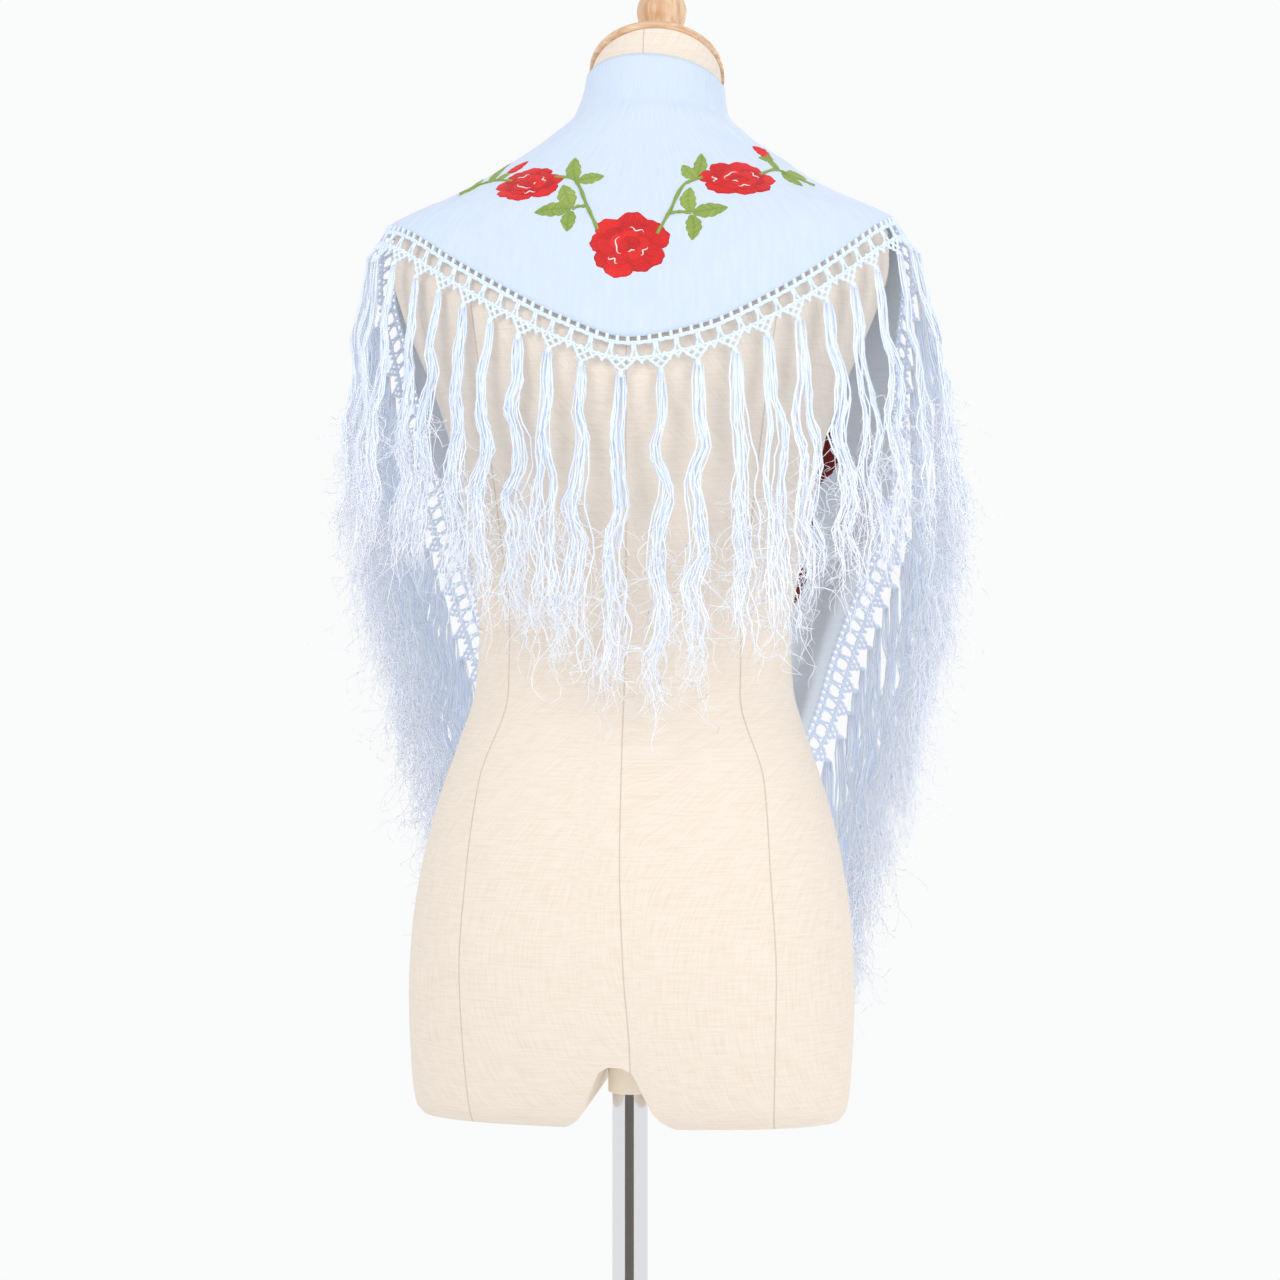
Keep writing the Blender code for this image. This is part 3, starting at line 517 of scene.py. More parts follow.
@dataclass(frozen=True)
class RayonYarn:
    """Crinkled rayon floss: soft gloss, ice blue, paler towards the tips where the twist has opened into filaments,
    with painted highlight there, and a faint painted glow.
    """

    deep: str = "#CFDCF1"
    ground: str = "#E6EEFA"
    # Paler tip colour: partly the opened filaments, partly painted highlight.
    frayed: str = "#FBFCFF"
    # Painted light: a faint glow of the yarn's own, for light that passes from filament to filament, which makes a real
    # tassel paler than its yarns.
    passed_light: str = "#D5E2F6"
    # The ply of the yarn shows as slanted stripes about 1.3 mm apart.
    ply: float = 1.3 * MM
    slant: float = 0.6
    # Strength of the painted glow.
    glow: float = 0.21

    def material(self) -> bpy.types.Material:
        """Tone per yarn from deep to ground, then towards the paler tip colour by the per-point tip value, which is
        partly painted highlight; the emission is a painted glow.
        """
        # The emission is painted light, a glow for light passed between filaments.
        made, tree, shader = new_material(
            "rayon_floss", Roughness=0.5, Sheen_Weight=0.2, Specular_IOR_Level=0.4,
            Emission_Color=linear(self.passed_light), Emission_Strength=self.glow,
        )
        tone = add_node(tree, "ShaderNodeAttribute", attribute_name="tone").outputs["Fac"]
        frayed = add_node(tree, "ShaderNodeAttribute", attribute_name="frayed").outputs["Fac"]
        colour = blended(tree, tone, self.deep, self.ground)
        colour = blended(tree, frayed, colour, self.frayed)
        chart = add_node(tree, "ShaderNodeUVMap", uv_map="Chart").outputs[0]
        place = add_node(
            tree, "ShaderNodeMapping", {"Vector": chart, "Rotation": (0, 0, self.slant), "Scale": (1 / self.ply,) * 3}
        ).outputs[0]
        twist = add_node(
            tree, "ShaderNodeTexWave", {"Vector": place, "Scale": 0.35, "Distortion": 1.5, "Detail": 1.0}
        ).outputs[1]
        finished(tree, shader, colour, twist, 0.4, 0.3 * MM)
        return made


@dataclass(frozen=True)
class TurnedWood:
    """Turned pale beech under satin varnish: long grain lines, with darker flecks."""

    name: str
    light: str = "#EBCBA8"
    dark: str = "#C9966A"
    # Grain lines are about 2 mm apart and run the length of the piece.
    grain: float = 2.2 * MM
    along: tuple[float, float, float] = (0.0, 0.0, 1.0)

    def material(self) -> bpy.types.Material:
        """Noise on Object coordinates, stretched along the grain by a Mapping node."""
        made, tree, shader = new_material(self.name, Roughness=0.38, Coat_Weight=0.35, Coat_Roughness=0.22)
        place = add_node(tree, "ShaderNodeTexCoord").outputs["Object"]
        scale = tuple(1 / self.grain * (1 - 0.93 * part) for part in self.along)
        turned = add_node(
            tree, "ShaderNodeMapping", {"Vector": place, "Rotation": (CAP_SLOPE, 0, 0), "Scale": scale}
        ).outputs[0]
        lines = add_node(
            tree, "ShaderNodeTexNoise", {"Vector": turned, "Scale": 0.55, "Detail": 4.0, "Distortion": 0.4}
        ).outputs[0]
        share = add_node(tree, "ShaderNodeMapRange", {0: lines, 1: 0.36, 2: 0.66, 3: 0.0, 4: 0.85}).outputs[0]
        finished(tree, shader, blended(tree, share, self.light, self.dark), lines, 0.08, 0.2 * MM)
        return made


@dataclass(frozen=True)
class ChromePlate:
    """Chrome plate on polished steel: a mirror with faint smears from handling."""

    ground: str = "#EDEDEE"
    smear: float = 60 * MM
    smear_width: float = 25 * MM

    def material(self) -> bpy.types.Material:
        """Roughness between 0.05 and 0.14 from stretched noise."""
        made, tree, shader = new_material("chrome_plate", Metallic=1.0, Base_Color=linear(self.ground))
        place = add_node(tree, "ShaderNodeTexCoord").outputs["Object"]
        scale = (1 / self.smear_width, 1 / self.smear_width, 1 / self.smear)
        place = add_node(tree, "ShaderNodeMapping", {"Vector": place, "Scale": scale}).outputs[0]
        smears = add_node(tree, "ShaderNodeTexNoise", {"Vector": place, "Scale": 1.0, "Detail": 3.0}).outputs[0]
        rough = add_node(tree, "ShaderNodeMapRange", {0: smears, 1: 0.35, 2: 0.75, 3: 0.05, 4: 0.14}).outputs[0]
        tree.links.new(rough, shader.inputs["Roughness"])
        return made


@dataclass(frozen=True)
class MouldedNylon:
    """Moulded cream nylon: satin, slightly see-into, with fine mould texture."""

    ground: str = "#FFF6E4"
    texture: float = 0.6 * MM

    def material(self) -> bpy.types.Material:
        """A fine bump from noise."""
        made, tree, shader = new_material("nylon_moulded_cream", Roughness=0.45, Base_Color=linear(self.ground))
        place = add_node(tree, "ShaderNodeTexCoord").outputs["Object"]
        settings = {"Vector": place, "Scale": 1 / self.texture, "Detail": 1.0}
        finished(tree, shader, None, add_node(tree, "ShaderNodeTexNoise", settings).outputs[0], 0.15, 0.1 * MM)
        return made


@dataclass(frozen=True)
class PaperFloor:
    """Seamless white background paper: matt and almost even."""

    ground: str = "#F7F7F6"
    fibre_grey: Colour = (0.6, 0.6, 0.6, 1)
    fibre: float = 2 * MM

    def material(self) -> bpy.types.Material:
        """Very faint fibres from noise."""
        made, tree, shader = new_material("background_paper", Roughness=0.9)
        place = add_node(tree, "ShaderNodeTexCoord").outputs["Object"]
        fibres = add_node(tree, "ShaderNodeTexNoise", {"Vector": place, "Scale": 1 / self.fibre}).outputs[0]
        share = add_node(tree, "ShaderNodeMapRange", {0: fibres, 3: 0.0, 4: 0.06}).outputs[0]
        tree.links.new(blended(tree, share, self.ground, self.fibre_grey), shader.inputs["Base Color"])
        return made


# ================================================================ the body's level sections
# Height; half width, middle, back, front; power of the oval; how far the cloth's outer face stands
# out at the side, the back and the front.
SECTIONS: Table = (
    (0.6690, 0.1590, 0.000, -0.058, 0.070, 2.4, 0.056, 0.010, 0.054),
    (0.6750, 0.1635, 0.000, -0.067, 0.078, 2.4, 0.055, 0.010, 0.053),
    (0.7000, 0.1670, 0.000, -0.084, 0.087, 2.4, 0.053, 0.010, 0.050),
    (0.7600, 0.1690, 0.000, -0.107, 0.095, 2.4, 0.051, 0.010, 0.045),
    (0.8100, 0.1665, 0.000, -0.116, 0.100, 2.4, 0.053, 0.010, 0.040),
    (0.8600, 0.1590, 0.000, -0.117, 0.103, 2.4, 0.061, 0.010, 0.037),
    (0.9100, 0.1465, 0.000, -0.108, 0.102, 2.4, 0.075, 0.012, 0.038),
    (0.9500, 0.1330, 0.000, -0.097, 0.098, 2.4, 0.092, 0.015, 0.042),
    (0.9950, 0.1200, 0.000, -0.084, 0.091, 2.4, 0.105, 0.020, 0.049),
    (1.0350, 0.1180, 0.000, -0.081, 0.089, 2.4, 0.106, 0.020, 0.051),
    (1.0800, 0.1240, 0.000, -0.087, 0.093, 2.4, 0.098, 0.015, 0.047),
    (1.1250, 0.1320, 0.000, -0.094, 0.106, 2.4, 0.087, 0.010, 0.034),
    (1.1600, 0.1380, 0.000, -0.101, 0.122, 2.4, 0.078, 0.008, 0.018),
    (1.1900, 0.1450, 0.000, -0.106, 0.128, 2.4, 0.068, 0.0070, 0.011),
    (1.2200, 0.1560, 0.000, -0.108, 0.122, 2.4, 0.054, 0.0068, 0.010),
    (1.2500, 0.1690, 0.000, -0.107, 0.112, 2.4, 0.039, 0.0055, 0.010),
    (1.2800, 0.1810, 0.000, -0.103, 0.101, 2.4, 0.026, 0.0026, 0.009),
    (1.3100, 0.1890, 0.000, -0.094, 0.089, 2.4, 0.017, 0.0021, 0.008),
    (1.3300, 0.1885, 0.001, -0.086, 0.083, 2.4, 0.014, 0.0034, 0.007),
    (1.3443, 0.1820, 0.002, -0.0780, 0.080, 2.3, 0.010, 0.0040, 0.006),
    (1.3527, 0.1680, 0.003, -0.0725, 0.078, 2.3, 0.008, 0.0040, 0.006),
    (1.3631, 0.1460, 0.005, -0.0655, 0.076, 2.2, 0.007, 0.0040, 0.006),
    (1.3735, 0.1265, 0.006, -0.0585, 0.075, 2.2, 0.0065, 0.0040, 0.006),
    (1.3955, 0.0930, 0.011, -0.0440, 0.0745, 2.1, 0.006, 0.0040, 0.005),
    (1.4136, 0.0705, 0.018, -0.0345, 0.0760, 2.0, 0.006, 0.0040, 0.004),
    (1.4310, 0.0555, 0.0266, -0.0265, 0.0786, 2.0, 0.0042, 0.0035, 0.003),
    (1.4590, 0.0508, 0.0350, -0.0175, 0.0870, 2.0, 0.0032, 0.0030, 0.003),
    (1.5000, 0.0500, 0.0473, -0.0047, 0.0993, 2.0, 0.0030, 0.0030, 0.003),
)
FORM_BOTTOM = 0.669
CAP_CENTRE = np.array([0.0166, 0.035, 1.4635])
CAP_SLOPE = math.radians(33)


@dataclass(frozen=True)
class Figure:
    """The padded body as level ovals, and the looser ovals that the cloth hangs on."""

    sections: Table = SECTIONS
    body_lean: float = 0.0105
    neck_lean: float = 0.068
    neck_root: float = 1.350
    step: float = 0.002

    def size(self, index: int, height: Array) -> Array:
        """One column of the sections at each height."""
        return monotone_curve(height, *column(self.sections, index))

    def lean(self, height: Array) -> Array:
        """How far the middle stands to the right of the pole: a slope, and a steeper one in the neck."""
        return self.body_lean * (height - FORM_BOTTOM) + self.neck_lean * np.maximum(0, height - self.neck_root)

    def oval(self, turn: Array, height: Array, ease: float) -> Array:
        """Points on the level ovals.

        x is the half width times cos(turn) to the power 2 / n, and y the depth times sin(turn) to
        the same power, with n from the table, so that |x| to the n plus |y| to the n is 1.

        Args:
            turn: angle round the body, 0 at the right side.
            height: height above the floor.
            ease: 0 for the body's face, 1 for the outer face of the cloth.

        Returns:
            Points, with one more axis of 3.
        """
        turn, height = np.broadcast_arrays(np.asarray(turn, float), np.asarray(height, float))
        half_width = self.size(1, height) + ease * self.size(6, height)
        middle = self.size(2, height)
        back = self.size(3, height) - ease * self.size(7, height)
        front = self.size(4, height) + ease * self.size(8, height)
        bend = 2 / self.size(5, height)
        across, along = np.cos(turn), np.sin(turn)
        depth = np.where(along > 0, front - middle, middle - back)
        x = self.lean(height) + half_width * np.sign(across) * np.abs(across) ** bend
        return np.stack([x, middle + depth * np.sign(along) * np.abs(along) ** bend, height], axis=-1)

    def turn_at(self, x: Array, height: Array) -> Array:
        """Turn from the right side at which the cloth's oval is |x| out from its middle."""
        half_width = self.size(1, height) + self.size(6, height)
        return np.arccos(np.clip(np.abs(x) / half_width, 0, 1) ** (self.size(5, height) / 2))

    def place(self, face: Face, x: Array, height: Array) -> Array:
        """Turn of a place that is x out from the body's middle, on the back or the front."""
        turn = self.turn_at(x, height) * (1 if face is Face.FRONT else -1)
        return np.where(np.asarray(x) < 0, math.pi - turn, turn)

    def push_out(self, points: Array, margin: float) -> Array:
        """Moves points that are inside the body's oval, let out by a margin, straight out to it.

        Args:
            points: any array of points.
            margin: how far the points stay from the body.

        Returns:
            The moved points.
        """
        height = points[..., 2]
        middle = self.size(2, height)
        x = points[..., 0] - self.lean(height)
        y = points[..., 1] - middle
        power = self.size(5, height)
        depth = np.where(y > 0, self.size(4, height) - middle, middle - self.size(3, height)) + margin
        reach = (np.abs(x / (self.size(1, height) + margin)) ** power + np.abs(y / depth) ** power) ** (1 / power)
        inside = (height > FORM_BOTTOM) & (reach < 1)
        grow = np.where(inside, 1 / np.maximum(reach, 0.2), 1.0)
        moved = points.copy()
        moved[..., 0] += x * (grow - 1)
        moved[..., 1] += y * (grow - 1)
        return moved


# ================================================================ dress form
@dataclass(frozen=True)
class DressForm:
    """The padded, linen-covered body with its seams, its neck cut on a slope and its leg arch."""

    figure: Figure
    columns: int = 208
    rows: int = 136
    under_rows: int = 12
    # Half of the arch between the legs: x, height above the cut.
    arch: Table = ((0.0, 0.053), (0.0120, 0.047), (0.0175, 0.036), (0.0225, 0.020), (0.0300, 0.008), (0.0400, 0.0))
    # Height; x of the centre back seam from the body's middle; x of the princess seams.
    seams: Table = (
        (0.669, 0.0100, 0.1125),
        (0.730, 0.0110, 0.1145),
        (0.786, 0.0080, 0.1155),
        (0.857, 0.0049, 0.1110),
        (0.926, 0.0035, 0.1045),
        (0.990, 0.0026, 0.0855),
        (1.040, 0.0030, 0.0855),
        (1.107, 0.0037, 0.0920),
        (1.219, 0.0046, 0.1050),
        (1.340, 0.0030, 0.1180),
        (1.400, 0.0000, 0.0900),
        (1.500, -0.0075, 0.0400),
    )

    def foot(self, turn: Array) -> Array:
        """Height at which each column starts: the cut, raised over the arch where x is small."""
        height = np.full_like(turn, FORM_BOTTOM)
        for _ in range(8):
            x = self.figure.oval(turn, height, 0.0)[..., 0]
            height = FORM_BOTTOM + monotone_curve(np.abs(x), *column(self.arch, 1))
        return height

    def neck(self, turn: Array) -> Array:
        """Height at which each column meets the sloping cut under the cap."""
        level = CAP_CENTRE[1] * math.sin(CAP_SLOPE) + CAP_CENTRE[2] * math.cos(CAP_SLOPE)
        height = np.full_like(turn, CAP_CENTRE[2])
        for _ in range(12):
            y = self.figure.oval(turn, height, 0.0)[..., 1]
            height = (level - y * math.sin(CAP_SLOPE)) / math.cos(CAP_SLOPE)
        return height

    def build(self, finish: Linen) -> bpy.types.Object:
        """The body as one closed surface: the wall, the underside with its arch, and the neck's cut.

        The underside and the cut join each point of the back with the point of the front that has the
        same x by a straight line.

        Args:
            finish: the linen.

        Returns:
            The piece.
        """
        turns = np.arange(self.columns) * 2 * math.pi / self.columns + math.pi / self.columns
        low, high = self.foot(turns), self.neck(turns)
        share = np.linspace(0, 1, self.rows)[:, None]
        heights = low + (high - low) * share
        points = self.figure.oval(np.broadcast_to(turns, heights.shape), heights, 0.0)
        loop = np.concatenate([points, points[:, :1]], axis=1)
        around = np.cumsum(np.linalg.norm(np.diff(loop, axis=1, prepend=loop[:, :1]), axis=-1), axis=1)
        chart = np.stack([around, np.broadcast_to(loop[..., 2], around.shape)], axis=-1)
        x = points[..., 0] - self.figure.lean(heights)
        centre, princess = (monotone_curve(heights, *column(self.seams, index)) for index in (1, 2))
        surface = Surface("linen_form")
        surface.add(
            points[None],
            wrap=True,
            chart=chart[None],
            centre_seam=np.where(points[..., 1] < self.figure.size(2, heights), x - centre, x),
            princess_seam=np.abs(x) - princess,
            side_seam=points[..., 1] - self.figure.size(2, heights) + 0.004,
        )
        half = self.columns // 2
        for row, flip in ((0, True), (-1, False)):
            front, back = points[row, :half], points[row, half:][::-1]
            across = np.linspace(0, 1, self.under_rows)[:, None, None]
            sheet = front + (back - front) * across
            surface.add(
                sheet[None], flip=flip, chart=sheet[None, ..., :2], centre_seam=1.0, princess_seam=1.0, side_seam=1.0
            )
        return placed(surface.build(finish.material()), "form", ("form_body",))


# ================================================================ cloth
@dataclass(frozen=True)
class Crease:
    """A soft trough or ridge of the cloth, listed one by one: the line it follows and its own size."""

    face: Face
    line: Table
    half_width: float
    rise: float


CREASES: tuple[Crease, ...] = (
    # Round the back of the neck, where the top edge was turned and pulled tight.
    Crease(Face.BACK, ((-0.014, 1.4420), (0.0043, 1.4395), (0.020, 1.4410)), 0.0026, -0.0020),
    Crease(Face.BACK, ((-0.0352, 1.4355), (0.004, 1.4330), (0.0408, 1.4347), (0.0559, 1.4250)), 0.0055, -0.0026),
    Crease(Face.BACK, ((-0.030, 1.4290), (0.010, 1.4262), (0.045, 1.4220), (0.066, 1.4100)), 0.0050, 0.0024),
    Crease(Face.BACK, ((0.010, 1.4400), (0.030, 1.4378), (0.046, 1.4330)), 0.0028, -0.0020),
    Crease(Face.BACK, ((-0.052, 1.4300), (-0.060, 1.4150), (-0.078, 1.4010)), 0.0050, -0.0020),
    Crease(Face.BACK, ((0.056, 1.4290), (0.066, 1.4120), (0.090, 1.3960), (0.120, 1.3800)), 0.0060, 0.0026),
    # Across the shoulders, down to where the cloth lies flat.
    Crease(Face.BACK, ((-0.1409, 1.3620), (-0.1380, 1.3560), (-0.1400, 1.3500)), 0.0060, -0.0024),
    Crease(Face.BACK, ((-0.160, 1.3560), (-0.120, 1.3500), (-0.080, 1.3420)), 0.0110, 0.0012),
    Crease(Face.BACK, ((0.170, 1.3520), (0.130, 1.3380), (0.090, 1.3200)), 0.0120, 0.0013),
    Crease(Face.BACK, ((0.100, 1.3300), (0.060, 1.2900), (0.030, 1.2640)), 0.0130, 0.0010),
    Crease(Face.BACK, ((-0.110, 1.3200), (-0.070, 1.2950), (-0.030, 1.2700)), 0.0140, 0.0009),
    # Over the shoulders to the front, on the sides that the photograph doesn't show.
    Crease(Face.FRONT, ((0.120, 1.3780), (0.110, 1.3400), (0.090, 1.2800), (0.080, 1.2100)), 0.0130, 0.0022),
    Crease(Face.FRONT, ((0.085, 1.3950), (0.078, 1.3500), (0.066, 1.2900), (0.060, 1.2300)), 0.0080, -0.0024),
    Crease(Face.FRONT, ((0.155, 1.3500), (0.150, 1.3000), (0.135, 1.2400), (0.120, 1.1700)), 0.0120, -0.0028),
    Crease(Face.FRONT, ((0.060, 1.4000), (0.056, 1.3600), (0.050, 1.3100)), 0.0060, 0.0028),
    Crease(Face.FRONT, ((-0.115, 1.3800), (-0.102, 1.3350), (-0.088, 1.2700), (-0.074, 1.1900)), 0.0120, 0.0032),
    Crease(Face.FRONT, ((-0.082, 1.3920), (-0.070, 1.3400), (-0.058, 1.2750)), 0.0090, -0.0015),
    Crease(Face.FRONT, ((-0.150, 1.3520), (-0.140, 1.2950), (-0.126, 1.2300), (-0.112, 1.1500)), 0.0130, -0.0030),
    Crease(Face.FRONT, ((-0.058, 1.3980), (-0.052, 1.3550), (-0.049, 1.3000)), 0.0055, 0.0024),
    Crease(Face.FRONT, ((0.100, 1.1500), (0.085, 1.0800), (0.075, 1.0000)), 0.0110, 0.0026),
    Crease(Face.FRONT, ((-0.092, 1.1300), (-0.078, 1.0600), (-0.070, 0.9900)), 0.0110, 0.0024),
)


@dataclass(frozen=True)
class ShawlShape:
    """Where the cloth lies: its outline, the swing of its fronts and its creases."""

    figure: Figure
    thickness: float = 0.8 * MM
    corner_x: float = 0.1940
    corner_height: float = 1.3440
    tip_height: float = 0.8880
    neck_back: float = 1.4700
    neck_drop: float = 0.0155
    neck_skew: float = 0.0040
    back_hem: Table = (
        (-0.1940, 1.3440), (-0.1720, 1.3360), (-0.1251, 1.3068), (-0.0858, 1.2838), (-0.0432, 1.2614),
        (0.0068, 1.2446), (0.0573, 1.2536), (0.1033, 1.2752), (0.1448, 1.3024), (0.1780, 1.3300), (0.1940, 1.3440),
    )
    # Height; x of the inner edge; x of the hem.
    right_wing: Table = (
        (0.8880, 0.0570, 0.0640), (0.9150, 0.0500, 0.0920), (0.9450, 0.0440, 0.1215), (0.9765, 0.0390, 0.1350),
        (1.0070, 0.0350, 0.1435), (1.0640, 0.0330, 0.1640), (1.1120, 0.0330, 0.1850), (1.1600, 0.0345, 0.1930),
        (1.2000, 0.0360, 0.1930), (1.2500, 0.0380, 0.1945), (1.3000, 0.0405, 0.1990), (1.3440, 0.0420, 0.1940),
    )
    left_wing: Table = (
        (0.8880, 0.0570, 0.0640), (0.9150, 0.0520, 0.0870), (0.9450, 0.0470, 0.1080), (0.9765, 0.0420, 0.1205),
        (1.0070, 0.0390, 0.1300), (1.0640, 0.0360, 0.1470), (1.1170, 0.0350, 0.1620), (1.1600, 0.0355, 0.1740),
        (1.2000, 0.0365, 0.1830), (1.2500, 0.0380, 0.1900), (1.3000, 0.0405, 0.1980), (1.3440, 0.0420, 0.1940),
    )
    # Share of the way up the collar; x as a share of the section's half width.
    collar: Table = ((0.00, 0.2180), (0.25, 0.3200), (0.50, 0.4500), (0.68, 0.6200), (0.85, 0.8300), (1.00, 1.0))
    # Place across a front, its width, its rise at the bottom.
    swings: Table = ((0.15, 0.100, 0.0080), (0.40, 0.100, -0.0080), (0.66, 0.105, 0.0085), (0.90, 0.090, -0.0050))
    swing_start: float = 1.230
    swing_full: float = 1.050
    # Least room between the cloth's inner face and the body.
    room: float = 0.4 * MM
    # Places laid at a time, which keeps the arrays small.
    batch: int = 6000
    # Share of a half's columns; place on the hem and on the top edge that it joins.
    joins: Table = (
        (0.00, 0.00, 0.00), (0.36, 0.80, 0.80), (0.46, 0.97, 1.00), (0.53, 1.06, 1.50), (0.60, 1.15, 2.00),
        (1.00, 2.00, 3.00),
    )
    # Places on the hem and on the top edge between which they pass over the shoulder's side.
    hem_bridge: tuple[float, float] = (0.90, 1.03)
    top_bridge: tuple[float, float] = (0.90, 1.10)
    creases: tuple[Crease, ...] = CREASES

    @cached_property
    def crease_lines(self) -> list[Array]:
        """Each crease's line as 24 points on the cloth's oval."""
        lines = []
        for crease in self.creases:
            x, z = np.array(crease.line, float).T
            fine = np.linspace(0, len(x) - 1, 24)
            x, z = (monotone_curve(fine, np.arange(len(x)), part) for part in (x, z))
            lines.append(self.bare(self.figure.place(crease.face, x, z), z)[0])
        return lines

    def neck_edge(self, turn: Array) -> Array:
        """Height of the top edge behind the neck: highest at the middle, dipping to the shoulders."""
        return self.neck_back - self.neck_drop * (1 - np.abs(np.sin(turn))) - self.neck_skew * np.cos(turn)

    def front_edges(self, side: int, height: Array) -> tuple[Array, Array]:
        """Turns of a front's inner edge and hem, as on the right side.

        Args:
            side: 1 on the right, -1 on the left.
            height: heights on the front.

        Returns:
            The inner edge's turns and the hem's.
        """
        table = self.right_wing if side > 0 else self.left_wing
        half_width = self.figure.size(1, height) + self.figure.size(6, height)
        top = self.neck_edge(np.array(0.0 if side > 0 else math.pi))
        rise = (height - self.corner_height) / (top - self.corner_height)
        collar_x = half_width * monotone_curve(rise, *column(self.collar, 1))
        inner_x = monotone_curve(height, *column(table, 1))
        inner = self.figure.turn_at(np.where(rise > 0, collar_x, inner_x), height)
        hem = self.figure.turn_at(monotone_curve(height, *column(table, 2)), height)
        return inner, np.where(rise > 0, 0.0, hem)

    def half(self, side: int, columns: int, ups: Array) -> tuple[Array, Array]:
        """Turns and heights of half of the cloth, from the middle of the back to a tip.

        Each column is a straight line, in turn and height, from a place on the hem to a place on the
        top edge.

        Args:
            side: 1 on the right, -1 on the left.
            columns: how many columns.
            ups: rows, from 0 at the hem to 1 at the top edge.

        Returns:
            Turns and heights, (rows, columns).
        """
        share = np.linspace(0, 1, columns)
        hem_place = monotone_curve(share, *column(self.joins, 1))
        top_place = monotone_curve(share, *column(self.joins, 2))
        drop = self.corner_height - self.tip_height

        def back_place(place: Array) -> tuple[Array, Array]:
            x = side * self.corner_x * np.sin(np.minimum(place, 1) * math.pi / 2)
            low = monotone_curve(x, *column(self.back_hem, 1))
            return -self.figure.turn_at(x, low), low

        turn, height = back_place(hem_place)
        low_height = np.where(hem_place > 1, self.corner_height - (hem_place - 1) * drop, height)
        low_turn = np.where(hem_place > 1, self.front_edges(side, low_height)[1], turn)
        turn = back_place(top_place)[0]
        level = turn if side > 0 else math.pi - turn
        neck = self.neck_edge(level)
        seam_top = self.neck_edge(np.array(0.0 if side > 0 else math.pi))
        collar = self.corner_height + (2 - top_place) * (seam_top - self.corner_height)
        front = self.corner_height - (top_place - 2) * drop
        high = np.where(top_place > 2, front, collar)
        high_turn = np.where(top_place > 1, self.front_edges(side, high)[0], turn)
        high_height = np.where(top_place > 1, high, neck)
        low_turn = self.bridged(share, hem_place, low_turn, self.hem_bridge)
        high_turn = self.bridged(share, top_place, high_turn, self.top_bridge)
        turns = low_turn + (high_turn - low_turn) * ups[:, None]
        return (turns if side > 0 else math.pi - turns), low_height + (high_height - low_height) * ups[:, None]

    @staticmethod
    def bridged(share: Array, place: Array, turn: Array, bridge: tuple[float, float]) -> Array:
        """Turns drawn straight over the shoulder's side, where the oval is narrower than the corner.

        Args:
            share: share of the half's columns.
            place: each column's place on the edge.
            turn: each column's turn.
            bridge: places between which the turn is drawn straight.

        Returns:
            The turns, which rise from column to column.
        """
        kept = (place <= bridge[0]) | (place >= bridge[1])
        return np.where(kept, turn, np.interp(share, share[kept], turn[kept]))

    def bare(self, turn: Array, height: Array) -> tuple[Array, Array]:
        """Points and unit normals of the cloth's oval, before it swings or creases."""
        step = self.figure.step
        points = self.figure.oval(turn, height, 1.0)
        around = self.figure.oval(turn + step, height, 1.0) - self.figure.oval(turn - step, height, 1.0)
        upward = self.figure.oval(turn, height + step, 1.0) - self.figure.oval(turn, height - step, 1.0)
        return points, unit(np.cross(around, upward))

    def rise(self, turn: Array, height: Array, points: Array, normals: Array) -> Array:
        """How far the cloth stands out from its oval.

        The fronts swing by bell curves across them, more towards the tips. A crease adds its rise
        times a bell curve of the distance from its line. No trough goes nearer to the body than the
        cloth's thickness and its least room.

        Args:
            turn: turns.
            height: heights.
            points: points on the oval there.
            normals: the normals there.

        Returns:
            Distances along the normals.
        """
        side = np.where(np.cos(turn) < 0, -1, 1)
        own_turn = np.arctan2(np.sin(turn), np.abs(np.cos(turn)))
        edges = [self.front_edges(which, height) for which in (1, -1)]
        inner = np.where(side > 0, edges[0][0], edges[1][0])
        hem = np.where(side > 0, edges[0][1], edges[1][1])
        out = np.clip((own_turn - inner) / np.minimum(hem - inner, -1e-3), -0.2, 1.2)
        swell = sum(size * np.exp(-(((out - place) / width) ** 2)) for place, width, size in self.swings)
        total = swell * (1 - smoothstep(self.swing_full, self.swing_start, height)) * (own_turn > 0)
        for crease, line in zip(self.creases, self.crease_lines):
            margin = 3 * crease.half_width
            near = ((points > line.min(axis=0) - margin) & (points < line.max(axis=0) + margin)).all(axis=-1)
            if not near.any():
                continue
            away = ((points[near][..., None, :] - line) ** 2).sum(axis=-1)
            along = away.argmin(axis=-1) / (len(line) - 1)
            fade = np.minimum(1, 4 * np.minimum(along, 1 - along) + 0.15)
            total[near] += crease.rise * fade * np.exp(-away.min(axis=-1) / crease.half_width**2)
        room = ((points - self.figure.oval(turn, height, 0.0)) * normals).sum(axis=-1)
        return np.maximum(total, self.thickness + self.room - room)

    def lay(self, turn: Array, height: Array) -> tuple[Array, Array]:
        """Points on the cloth's outer face and the unit normals out of it."""
        points, normals = self.bare(turn, height)
        flat_turn, flat_height = np.broadcast_arrays(turn, height)
        parts = []
        for start in range(0, flat_turn.size, self.batch):
            cut = slice(start, start + self.batch)
            parts.append(self.rise(
                flat_turn.ravel()[cut], flat_height.ravel()[cut],
                points.reshape(-1, 3)[cut], normals.reshape(-1, 3)[cut],
            ))
        rise = np.concatenate(parts).reshape(points.shape[:-1])
        return points + normals * rise[..., None], normals

